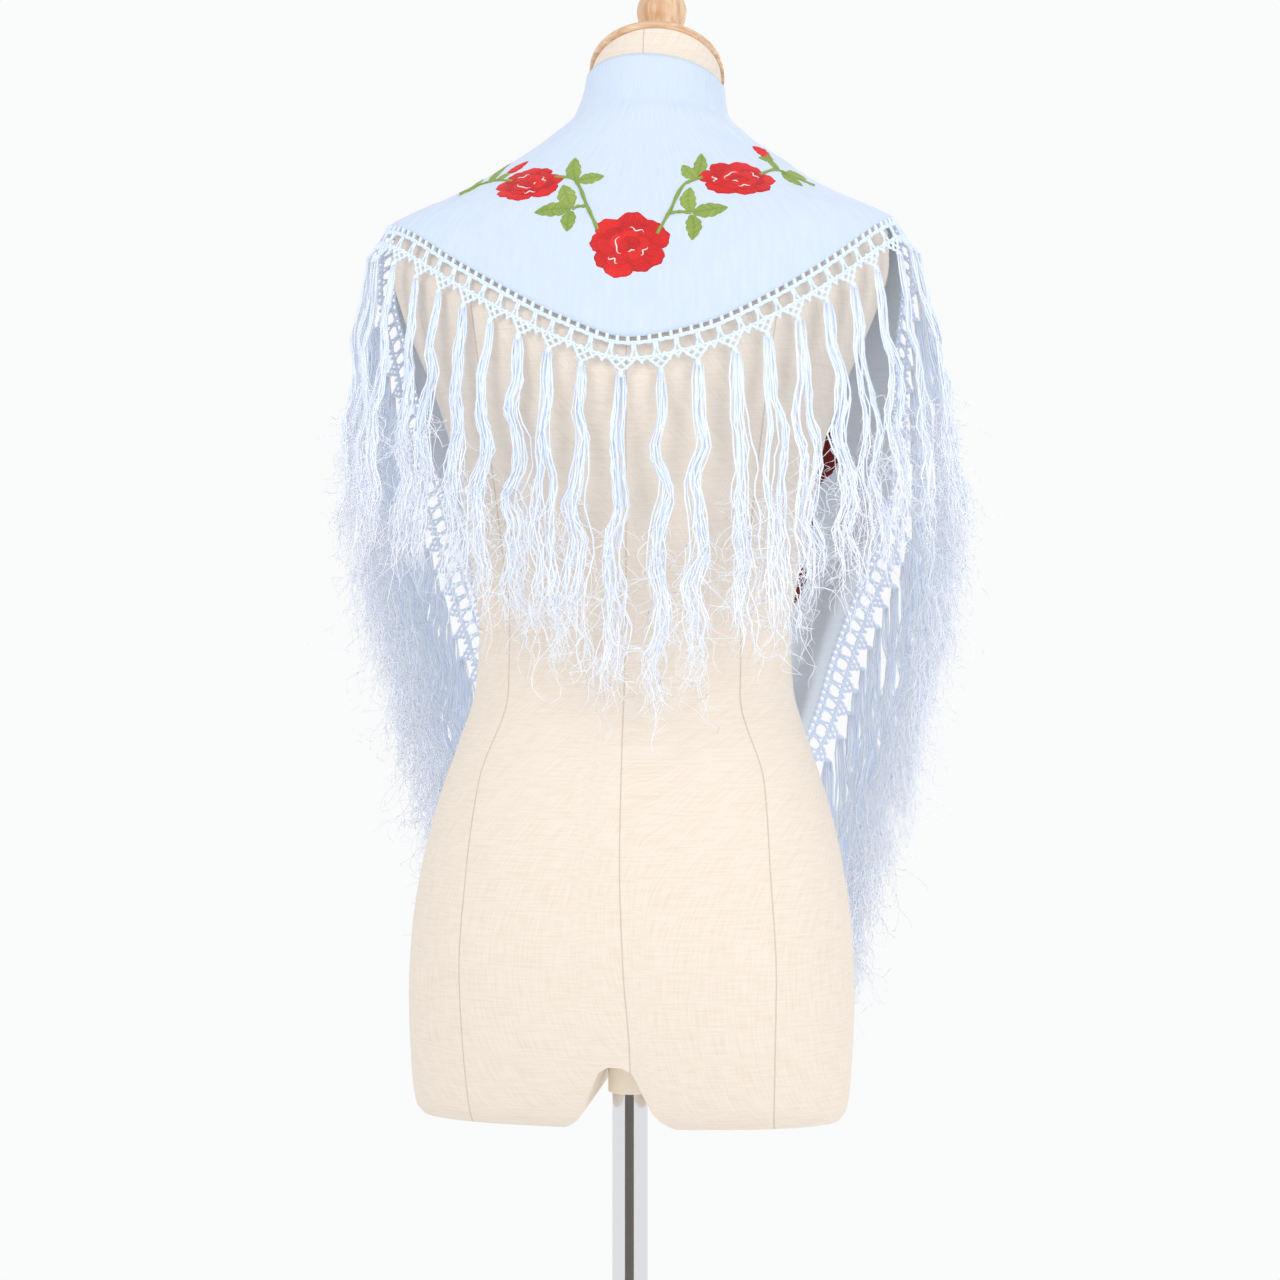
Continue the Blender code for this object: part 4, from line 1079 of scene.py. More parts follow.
    def grid(self, columns: int, ups: Array) -> tuple[Array, Array]:
        """Turns and heights of the whole cloth, from the left tip over the back to the right tip.

        Args:
            columns: columns in each half.
            ups: rows, from 0 at the hem to 1 at the top edge.

        Returns:
            Turns and heights, (rows, 2 * columns - 1), with turns that run on past the left side.
        """
        right_turn, right_height = self.half(1, columns, ups)
        left_turn, left_height = self.half(-1, columns, ups)
        left_turn = left_turn - 2 * math.pi * (left_turn > 0.5)
        turn = np.concatenate([left_turn[:, :0:-1], right_turn], axis=1)
        return turn, np.concatenate([left_height[:, :0:-1], right_height], axis=1)


@dataclass(frozen=True)
class Cloth:
    """The crepe itself: one thin shell over the back, both shoulders and both fronts."""

    shape: ShawlShape
    half_columns: int = 200
    rows: int = 42
    rolled: float = 0.5 * MM
    roll_reach: float = 1.6 * MM

    def build(self, finish: Crepe) -> bpy.types.Object:
        """A closed ring of rows, out along the outer face and back along the inner one.

        The shell is thicker in its first and last rows, where the edges are rolled.

        Args:
            finish: the crepe.

        Returns:
            The piece.
        """
        ups = np.linspace(0, 1, self.rows)
        ups = ups + 0.35 * (smoothstep(0, 1, ups) - ups)
        turn, height = self.shape.grid(self.half_columns, ups)
        outer, normals = self.shape.lay(turn, height)
        across = np.concatenate([[0], np.cumsum(np.linalg.norm(np.diff(outer[self.rows // 2], axis=0), axis=-1))])
        upward = np.cumsum(np.linalg.norm(np.diff(outer, axis=0, prepend=outer[:1]), axis=-1), axis=0)
        chart = np.stack([np.broadcast_to(across, upward.shape), upward], axis=-1)
        rolls = np.exp(-upward / self.roll_reach) + np.exp(-(upward[-1] - upward) / self.roll_reach)
        bulge = self.rolled * rolls[..., None]
        inner = outer - normals * (self.shape.thickness + 0.5 * bulge)
        outer = outer + normals * 0.5 * bulge
        ring = np.concatenate([outer, inner[::-1]], axis=0).transpose(1, 0, 2)
        ring_chart = np.concatenate([chart, chart[::-1], chart[:1]], axis=0).transpose(1, 0, 2)
        inside = np.concatenate([np.zeros(self.rows), np.ones(self.rows)])
        from_hem = np.concatenate([upward, upward[::-1]], axis=0).T
        surface = Surface("crepe_cloth")
        surface.add(
            ring[None], wrap=True, capped=True, flip=True, chart=ring_chart[None], inside=inside, from_hem=from_hem
        )
        made = surface.build(finish.material())
        return placed(made, "form", ("shawl_back", "shawl_front_right", "shawl_front_left"))


class Hem:
    """The cloth's lower edge as one line, with the ways along it, out of the cloth and off its edge."""

    def __init__(self, shape: ShawlShape, half_columns: int = 420, soften: int = 9) -> None:
        """Lays the line on the cloth and softens its ways where it turns at the shoulders.

        Args:
            shape: the cloth.
            half_columns: points in each half of the line.
            soften: points on each side that a way is averaged over.
        """
        turn, height = shape.grid(half_columns, np.array([0.0, 0.03]))
        points, normals = shape.lay(turn, height)
        self.edge = points[0] - normals[0] * shape.thickness / 2
        self.reach = np.concatenate([[0], np.cumsum(np.linalg.norm(np.diff(self.edge, axis=0), axis=-1))])
        self.length = float(self.reach[-1])
        tops = [int(np.argmax(part)) for part in (height[0][:half_columns], height[0][half_columns:])]
        self.corners = (float(self.reach[tops[0]]), float(self.reach[half_columns + tops[1]]))
        along = unit(np.gradient(self.edge, axis=0))
        off = self.edge - (points[1] - normals[1] * shape.thickness / 2)
        off = unit(off - (off * along).sum(axis=-1, keepdims=True) * along)
        on_back = smoothstep(-0.012, 0.012, self.reach - self.corners[0]) * smoothstep(
            -0.012, 0.012, self.corners[1] - self.reach
        )
        droop = (0.30 + 0.30 * on_back)[:, None] * np.array([0.0, 0.0, -1.0])
        self.along = self.softened(along, soften)
        self.outward = self.softened(normals[0], soften)
        self.fall = self.softened(unit(off + droop), soften)

    @staticmethod
    def softened(ways: Array, reach: int) -> Array:
        """Unit ways averaged over their neighbours on both sides."""
        padded = np.pad(ways, ((reach, reach), (0, 0)), mode="edge")
        sums = np.cumsum(np.pad(padded, ((1, 0), (0, 0))), axis=0)
        return unit(sums[2 * reach + 1 :] - sums[: -2 * reach - 1])

    def pick(self, values: Array, place: Array) -> Array:
        """Values at places along the hem, in metres from the left tip."""
        return np.stack([np.interp(place, self.reach, values[:, axis]) for axis in range(3)], axis=-1)

    def point(self, place: Array, down: Array, out: Array) -> Array:
        """The edge at a place, plus down times the fall and out times the way out of the cloth."""
        place, down, out = np.broadcast_arrays(*(np.asarray(part, float) for part in (place, down, out)))
        return (
            self.pick(self.edge, place)
            + down[..., None] * self.pick(self.fall, place)
            + out[..., None] * self.pick(self.outward, place)
        )

    def span(self, stretch: Stretch) -> tuple[float, float]:
        """First and last place of a stretch of the hem."""
        spans = {
            Stretch.LEFT: (0.0, self.corners[0]),
            Stretch.BACK: self.corners,
            Stretch.RIGHT: (self.corners[1], self.length),
        }
        return spans[stretch]


@dataclass(frozen=True)
class KnottedBand:
    """The hand-knotted band: stubs over the hem, a rail, a ladder of windows and four rows of knots."""

    hem: Hem
    rail_down: float = 4.5 * MM
    rows_down: tuple[float, float, float, float] = (15.2 * MM, 18.5 * MM, 21.8 * MM, 24.8 * MM)
    neck_down: float = 27.0 * MM
    back_tassels: int = 23
    front_tassels: int = 27
    back_windows: int = 38
    front_windows: int = 46
    palest: float = 0.55
    # Knots of each row, as shares of the way from one tassel to the next.
    net: Table = ((-0.375, -0.125, 0.125, 0.375), (-0.25, 0.0, 0.25, 0.5), (-0.125, 0.125), (0.0,))
    # Row, knot in it and knot in the row below that a doubled yarn joins.
    links: tuple[tuple[int, int, int], ...] = (
        (0, 0, 0), (0, 1, 0), (0, 1, 1), (0, 2, 1), (0, 2, 2), (0, 3, 2), (0, 3, 3),
        (1, 0, 0), (1, 1, 0), (1, 1, 1), (1, 2, 1), (2, 0, 0), (2, 1, 0),
    )
    seed: int = 11

    def tassels(self, stretch: Stretch) -> Array:
        """Places along the hem at which the tassels hang, evenly spaced."""
        start, end = self.hem.span(stretch)
        count = self.back_tassels if stretch is Stretch.BACK else self.front_tassels
        return start + (np.arange(count) + 0.5) * (end - start) / count

    def strands(self, surface: Surface, ends: Array, radius: float, rings: int, sag: float, tone: Array) -> None:
        """Adds short lengths of doubled yarn between two points of the band.

        Each runs in a straight line on the band, with half a sine's bow out of it.

        Args:
            surface: the piece.
            ends: (strands, 2, 3) with place, down and out of both ends.
            radius: half the yarn's width.
            rings: rings along it.
            sag: how far its middle stands out.
            tone: tone of each strand.
        """
        share = np.linspace(0, 1, rings)[None, :, None]
        line = ends[:, :1] + (ends[:, 1:] - ends[:, :1]) * share
        out = line[..., 2] + sag * np.sin(math.pi * share[..., 0])
        paths = self.hem.point(line[..., 0], line[..., 1], out)
        lead = self.hem.pick(self.hem.outward, line[..., 0].mean(axis=1))[:, None]
        surface.add(
            tubes(paths, radius, 5, lead, 0.8), wrap=True, capped=True, tone=tone[:, None, None], frayed=0.0
        )

    def knots(self, surface: Surface, places: Array, down: Array, size: float, across: bool, tone: Array) -> None:
        """Adds a row of small knots.

        Args:
            surface: the piece.
            places: where they are along the hem.
            down: how far below the edge.
            size: half their width.
            across: whether they lie along the hem instead of down from it.
            tone: tone of each knot.
        """
        axes = self.hem.pick(self.hem.along if across else self.hem.fall, places)
        lead = self.hem.pick(self.hem.outward, places)
        centres = self.hem.point(places, down, 0.2 * MM)
        surface.add(
            beads(centres, axes, size * 1.15, size, lead), wrap=True, capped=True, tone=tone[:, None, None],
            frayed=0.0,
        )

    def build(self, stretch: Stretch, finish: bpy.types.Material) -> bpy.types.Object:
        """One stretch of the band.

        Args:
            stretch: which stretch.
            finish: the yarn's material.

        Returns:
            The piece.
        """
        rng = np.random.default_rng(self.seed + len(stretch.value))
        start, end = self.hem.span(stretch)
        surface = Surface(f"knotted_band_{stretch.value}")
        count = self.back_windows if stretch is Stretch.BACK else self.front_windows
        bars = start + (np.arange(count) + 0.5) * (end - start) / count
        pitch = (end - start) / count

        def jitter(size: float, amount: int) -> Array:
            return rng.uniform(-size, size, amount)

        def tones(amount: int) -> Array:
            return rng.uniform(0.0, self.palest, amount)

        def pairs(places_a: Array, down_a: Array, places_b: Array, down_b: Array, out: float = 0.0) -> Array:
            amount = len(places_a)
            first = np.stack([places_a, np.broadcast_to(down_a, amount), np.full(amount, out)], axis=-1)
            last = np.stack([places_b, np.broadcast_to(down_b, amount), np.full(amount, out)], axis=-1)
            return np.stack([first, last], axis=1)

        # Two stubs to a window pass through the cloth just above its edge and down to the rail.
        stubs = (bars[:, None] + np.array([-0.25, 0.25]) * pitch).ravel() + jitter(0.4 * MM, 2 * count)
        for out in (0.85 * MM, -0.85 * MM):
            ends = pairs(stubs, -0.5 * MM, stubs + jitter(0.3 * MM, 2 * count), self.rail_down)
            ends[:, 0, 2] = out
            self.strands(surface, ends, 1.4 * MM, 4, 0.35 * MM * np.sign(out), tones(2 * count))
        self.knots(surface, stubs, np.full(2 * count, self.rail_down + 0.3 * MM), 1.45 * MM, True, tones(2 * count))
        rail = np.linspace(start, end, 4 * count + 1)
        for shift, out in ((-0.5 * MM, 0.3 * MM), (0.5 * MM, -0.3 * MM)):
            wave = 0.35 * MM * np.sin(rail / pitch * 4 * math.pi)
            paths = self.hem.point(rail, self.rail_down + shift + wave, out)[None]
            lead = self.hem.pick(self.hem.outward, rail)[None]
            surface.add(tubes(paths, 0.8 * MM, 5, lead), wrap=True, capped=True, tone=0.3, frayed=0.0)
        # Bars of two strands, leaning a little, that part at the foot.
        lean = jitter(0.8 * MM, count)
        knee = self.rail_down + 0.62 * (self.rows_down[0] - self.rail_down)
        for hand in (-1, 1):
            top = bars + hand * 0.85 * MM
            middle = bars + lean + hand * 0.95 * MM
            foot = bars + lean + hand * 2.6 * MM
            self.strands(surface, pairs(top, self.rail_down + 0.6 * MM, middle, knee), 1.08 * MM, 5, 0.2 * MM,
                         tones(count))
            self.strands(surface, pairs(middle, knee - 0.4 * MM, foot, self.rows_down[0]), 0.98 * MM, 4, 0.0,
                         tones(count))
        # Rows of knots that narrow to each tassel, as shares of the way from one tassel to the next.
        # The last knot of the second row is the top of the arch between two tassels.
        tassels = self.tassels(stretch)
        step = (end - start) / len(tassels)
        rows = []
        for level, offsets in enumerate(self.net):
            places = (tassels[:, None] + np.array(offsets) * step) + rng.uniform(
                -0.35 * MM, 0.35 * MM, (len(tassels), len(offsets))
            )
            places = np.clip(places, start, end)
            rows.append(places)
            flat = places.ravel()
            down = self.rows_down[level] + jitter(0.35 * MM, len(flat))
            self.knots(surface, flat, down, 1.5 * MM, False, tones(len(flat)))
        for level, knot, below in self.links:
            first, last = rows[level][:, knot], rows[level + 1][:, below]
            ends = pairs(first, self.rows_down[level], last, self.rows_down[level + 1])
            self.strands(surface, ends, 1.05 * MM, 4, 0.0, tones(len(first)))
        # The first row runs on from knot to knot, and each arch's top hangs on the next tassel's first knot.
        level_line = np.sort(rows[0].ravel())
        ends = pairs(level_line[:-1], self.rows_down[0], level_line[1:], self.rows_down[0])
        self.strands(surface, ends, 0.95 * MM, 4, 0.0, tones(len(ends)))
        ends = pairs(rows[1][:-1, 3], self.rows_down[1], rows[0][1:, 0], self.rows_down[0])
        self.strands(surface, ends, 1.05 * MM, 4, 0.0, tones(len(ends)))
        self.strands(surface, pairs(tassels, self.rows_down[3], tassels, self.neck_down), 1.6 * MM, 3, 0.0,
                     tones(len(tassels)))
        self.knots(surface, tassels, np.full(len(tassels), self.neck_down), 2.5 * MM, False, tones(len(tassels)))
        made = surface.build(finish)
        return placed(made, "form", (f"band_{stretch.value}",))


@dataclass(frozen=True)
class Fringe:
    """The crinkled fringe: each tassel is a flat bundle of yarns that waves, parts and frays."""

    hem: Hem
    band: KnottedBand
    figure: Figure
    yarns: int = 17
    yarn_rings: int = 20
    filaments: int = 76
    filament_rings: int = 11
    yarn_radius: float = 0.74 * MM
    # Real filaments are about 0.1 mm thick. They are drawn 0.6 mm thick so that they show.
    filament_radius: float = 0.30 * MM
    margin: float = 3.5 * MM
    seed: int = 29
    # Place along the stretch; length; how far the tips stand out from the roots.
    back: Table = (
        (0.00, 0.222, 0.016), (0.20, 0.214, 0.012), (0.42, 0.218, 0.012), (0.52, 0.236, 0.012), (0.62, 0.218, 0.012),
        (0.82, 0.214, 0.018), (1.00, 0.224, 0.038),
    )
    # Place from the shoulder to the tip.
    right: Table = (
        (0.00, 0.228, 0.022), (0.12, 0.228, 0.026), (0.30, 0.228, 0.010), (0.45, 0.228, -0.008), (0.60, 0.232, -0.012),
        (0.80, 0.234, -0.006), (1.00, 0.210, -0.004),
    )
    left: Table = (
        (0.00, 0.228, 0.008), (0.20, 0.228, 0.004), (0.40, 0.228, -0.010), (0.75, 0.228, -0.014), (1.00, 0.200, -0.006),
    )

    def hang(self, stretch: Stretch) -> tuple[Array, Array, Array, Array, Array]:
        """Roots, lengths, flares and level ways of a stretch's tassels.

        Returns:
            Roots (n, 3), lengths (n,), flares (n,), ways out (n, 3) and ways across (n, 3).
        """
        places = self.band.tassels(stretch)
        start, end = self.hem.span(stretch)
        share = (places - start) / (end - start)
        table, forward = self.back, 0.35
        if stretch is Stretch.RIGHT:
            table = self.right
        if stretch is Stretch.LEFT:
            share, table, forward = 1 - share, self.left, 1.0
        roots = self.hem.point(places, self.band.neck_down + 1.0 * MM, 0.0)
        out = unit(self.hem.pick(self.hem.outward, places) * np.array([1.0, forward, 0.0]))
        across = np.cross(np.array([0.0, 0.0, 1.0]), out)
        lengths, flares = (monotone_curve(share, *column(table, index)) for index in (1, 2))
        return roots, lengths, flares, out, across

    def build(self, stretch: Stretch, finish: bpy.types.Material) -> bpy.types.Object:
        """One stretch of fringe.

        A tassel's middle hangs down by length times share, stands out by its flare and sways by two
        sines. A yarn keeps its place in the bundle's flat oval, which is narrow at the knot and wide
        where it frays, and adds a small wave of its own. A filament leaves a yarn in its lower part
        and curls away in an opening spiral.

        Args:
            stretch: which stretch.
            finish: the yarn's material.

        Returns:
            The piece.
        """
        rng = np.random.default_rng(self.seed + 7 * len(stretch.value))
        roots, lengths, flares, out, across = self.hang(stretch)
        count = len(roots)
        lengths = lengths * rng.uniform(0.955, 1.045, count)

        def middle(share: Array) -> Array:
            """Middles of the tassels at shares (count, k) of their length."""
            grow = smoothstep(0.0, 0.30, share)
            sway = grow * (
                strong[:, None] * 3.6 * MM * np.sin(2 * math.pi * (share * turns[0][:, None]) + phases[0][:, None])
                + strong[:, None] * 1.5 * MM * np.sin(2 * math.pi * (share * turns[1][:, None]) + phases[1][:, None])
            ) + drift[:, None] * share**1.6
            bow = grow * 2.6 * MM * np.sin(2 * math.pi * share * turns[2][:, None] + phases[2][:, None])
            stand = flares[:, None] * (1 - (1 - share) ** 1.5) + layer[:, None] * grow + bow
            return (
                roots[:, None]
                - share[..., None] * lengths[:, None, None] * np.array([0.0, 0.0, 1.0])
                + out[:, None] * stand[..., None]
                + across[:, None] * sway[..., None]
            )

        turns = (rng.uniform(2.4, 3.6, count), rng.uniform(4.4, 6.8, count), rng.uniform(1.6, 3.2, count))
        phases = tuple(rng.uniform(0, 2 * math.pi, count) for _ in range(3))
        drift = rng.uniform(-7, 7, count) * MM
        strong = rng.uniform(0.35, 1.25, count)
        layer = np.where(np.arange(count) % 2 == 0, 1.0, 4.0) * MM + rng.uniform(0, 2, count) * MM
        parted = (rng.random(count) < 0.4) * rng.uniform(2.5, 5.5, count) * MM
        part_from = rng.uniform(0.15, 0.45, count)

        n = self.yarns
        share = np.linspace(0, 1, self.yarn_rings)
        shape = (count, n, self.yarn_rings)
        ends = rng.uniform(0.80, 1.0, (count, n))
        own = share[None, None] * ends[..., None]
        core = middle(own.reshape(count, -1)).reshape(*shape, 3)
        angle = rng.uniform(0, 2 * math.pi, (count, n))
        reach = np.sqrt(rng.uniform(0.02, 1, (count, n)))
        twist = angle[..., None] + own * rng.uniform(-1.5, 1.5, (count, 1, 1))
        width = monotone_curve(own, (0, 0.05, 0.25, 0.5, 0.75, 1.0), (0.72, 0.98, 1.08, 1.3, 2.0, 3.0))
        width = width * rng.uniform(0.85, 1.20, (count, 1, 1)) * (1 if stretch is Stretch.BACK else 1.25)
        wave = [
            MM * (0.35 + 2.0 * own) * np.sin(
                2 * math.pi * own * rng.uniform(low, high, (count, n, 1)) + rng.uniform(0, 6.3, (count, n, 1))
            ) for low, high in ((5, 9), (4, 8))
        ]
        stray = (rng.random((count, n)) < 0.16) * rng.uniform(-9, 9, (count, n)) * MM
        hand = np.sign(np.cos(angle))
        apart = np.sin(math.pi * np.clip((own - part_from[:, None, None]) / 0.38, 0, 1))
        side = (
            4.9 * MM * reach[..., None] * np.cos(twist) * width + wave[0]
            + hand[..., None] * parted[:, None, None] * apart + stray[..., None] * np.sin(math.pi * own) ** 2
        )
        deep = 1.7 * MM * reach[..., None] * np.sin(twist) * width + wave[1]
        paths = core + across[:, None, None] * side[..., None] + out[:, None, None] * deep[..., None]
        paths = self.figure.push_out(paths, self.margin)
        tone = np.clip(rng.normal(0.62, 0.28, (count, n, 1)) + 0.15 * np.sin(9 * own), 0, 1)
        # Paler towards the tips: the opened filaments, with painted highlight.
        frayed = 0.22 + 0.70 * smoothstep(0.20, 1.0, own)
        flat = paths.reshape(-1, self.yarn_rings, 3)
        taper = monotone_curve(own, (0, 0.6, 1.0), (1.15, 0.95, 0.45))
        radius = self.yarn_radius * taper.reshape(-1, self.yarn_rings)
        lead = np.repeat(out, n, axis=0)[:, None]
        rings = tubes(flat, radius, 3, lead)
        chart = self.chart(flat, 3)
        surface = Surface(f"fringe_yarns_{stretch.value}")
        surface.add(
            rings, wrap=True, capped=True, chart=chart,
            tone=tone.reshape(-1, self.yarn_rings, 1), frayed=frayed.reshape(-1, self.yarn_rings, 1),
        )

        m = self.filaments
        which = rng.integers(0, n, (count, m))
        leave = np.minimum(rng.uniform(0.30, 1.0, (count, m)) ** 0.62, 0.97)
        at = leave * (self.yarn_rings - 1)
        cell = np.floor(at).astype(int)
        row = np.arange(count)[:, None]
        part = (at - cell)[..., None]
        after = np.minimum(cell + 1, self.yarn_rings - 1)
        start = paths[row, which, cell] * (1 - part) + paths[row, which, after] * part
        t = np.linspace(0, 1, self.filament_rings)[None, None]
        long = rng.uniform(0.022, 0.060, (count, m))[..., None]
        curl = rng.uniform(2.0, 6.5, (count, m))[..., None] * MM * t**0.8 * 1.25
        spin = 2 * math.pi * rng.uniform(0.9, 2.1, (count, m))[..., None] * t * np.sign(rng.normal(size=(count, m, 1)))
        begin = rng.uniform(0, 2 * math.pi, (count, m))[..., None]
        head = rng.uniform(0, 2 * math.pi, (count, m))[..., None]
        wander = rng.uniform(0.05, 0.95, (count, m))[..., None] ** 1.3
        sideways = long * wander * t * np.cos(head) * 0.85 + curl * (np.cos(spin + begin) - np.cos(begin))
        outward = long * wander * t * np.sin(head) * 0.55 + curl * 0.7 * (np.sin(spin + begin) - np.sin(begin))
        fall = long * (t * (1.02 - 0.75 * wander) + 0.08 * np.sin(spin * 0.7))
        curls = (
            start[:, :, None]
            + across[:, None, None] * sideways[..., None]
            + out[:, None, None] * outward[..., None]
            - np.array([0.0, 0.0, 1.0]) * fall[..., None]
        )
        curls = self.figure.push_out(curls, 1.2 * MM).reshape(-1, self.filament_rings, 3)
        thin = self.filament_radius * rng.uniform(0.75, 1.25, (count * m, 1))
        thin = thin * np.linspace(1.15, 0.6, self.filament_rings)
        # Filaments take much of the paler tip colour, partly painted highlight.
        surface.add(
            tubes(curls, thin, 3, unit(rng.normal(size=(count * m, 1, 3)))), wrap=True, capped=True,
            chart=self.chart(curls, 3),
            tone=rng.uniform(0.3, 1, (count * m, 1, 1)), frayed=rng.uniform(0.65, 1, (count * m, 1, 1)),
        )
        made = surface.build(finish)
        return placed(made, "form", (f"fringe_{stretch.value}",))

    @staticmethod
    def chart(paths: Array, sides: int) -> Array:
        """Chart of many tubes: 1 mm for each side round, and the length along, both in metres."""
        along = np.cumsum(np.linalg.norm(np.diff(paths, axis=1, prepend=paths[:, :1]), axis=-1), axis=1)
        around = np.arange(sides + 1) * MM
        return np.stack(np.broadcast_arrays(around, along[..., None]), axis=-1)


# ================================================================ embroidery
@dataclass(frozen=True)
class Rose:
    """An open rose in satin stitch: where its middle is, how wide and tall it is and how it is turned."""

    face: Face
    x: float
    height: float
    width: float = 0.055
    tall: float = 0.050
    turned: float = 0.0


@dataclass(frozen=True)
class Leaf:
    """A pointed leaf with a midrib, or a red petal of a bud, from its base to its tip."""

    face: Face
    base: tuple[float, float]
    tip: tuple[float, float]
    half_width: float
    red: bool = False


@dataclass(frozen=True)
class Stem:
    """A stem in couched cord along a line of places."""

    face: Face
    line: Table
    half_width: float = 1.5 * MM


B, F = Face.BACK, Face.FRONT

ROSES: tuple[Rose, ...] = (
    Rose(B, 0.0042, 1.3128, 0.058, 0.050, 0.2),
    Rose(B, -0.0761, 1.3654, 0.054, 0.037, 1.1),
    Rose(B, 0.0784, 1.3655, 0.056, 0.038, -0.6),
    Rose(F, 0.1090, 1.2900, 0.052, 0.050, 0.5),
    Rose(F, 0.1240, 1.1780, 0.052, 0.050, 2.0),
    Rose(F, 0.0991, 1.0800, 0.050, 0.048, 1.4),
    Rose(F, -0.1250, 1.2900, 0.052, 0.050, 2.6),
    Rose(F, -0.1300, 1.1850, 0.052, 0.050, 0.9),
    Rose(F, -0.1000, 1.0850, 0.050, 0.048, -0.4),
)

STEMS: tuple[Stem, ...] = (
    Stem(B, ((-0.0190, 1.3250), (-0.0276, 1.3424), (-0.0371, 1.3611), (-0.0438, 1.3683), (-0.0570, 1.3700))),
    Stem(B, ((0.0240, 1.3208), (0.0325, 1.3386), (0.0409, 1.3608), (0.0528, 1.3665))),
    Stem(B, ((-0.0395, 1.3420), (-0.0345, 1.3440), (-0.0290, 1.3440))),
    Stem(B, ((0.0330, 1.3370), (0.0400, 1.3378), (0.0480, 1.3368))),
    Stem(B, ((-0.0900, 1.3690), (-0.1040, 1.3720), (-0.1179, 1.3703), (-0.1330, 1.3640))),
    Stem(B, ((0.0930, 1.3700), (0.1040, 1.3758), (0.1154, 1.3715), (0.1330, 1.3640))),
    Stem(B, ((0.0985, 1.3870), (0.1005, 1.3820), (0.1040, 1.3758))),
    Stem(F, ((0.1380, 1.3560), (0.1260, 1.3350), (0.1139, 1.3100))),
    Stem(F, ((0.1120, 1.2680), (0.1200, 1.2400), (0.1240, 1.2020))),
    Stem(F, ((0.1220, 1.1540), (0.1120, 1.1300), (0.1012, 1.1020))),
    Stem(F, ((0.0974, 1.0560), (0.0900, 1.0250), (0.0800, 0.9750))),
    Stem(F, ((-0.1380, 1.3560), (-0.1320, 1.3350), (-0.1270, 1.3100))),
    Stem(F, ((-0.1270, 1.2660), (-0.1330, 1.2400), (-0.1310, 1.2080))),
    Stem(F, ((-0.1270, 1.1610), (-0.1170, 1.1330), (-0.1050, 1.1070))),
    Stem(F, ((-0.0950, 1.0620), (-0.0860, 1.0300), (-0.0760, 0.9800))),
)

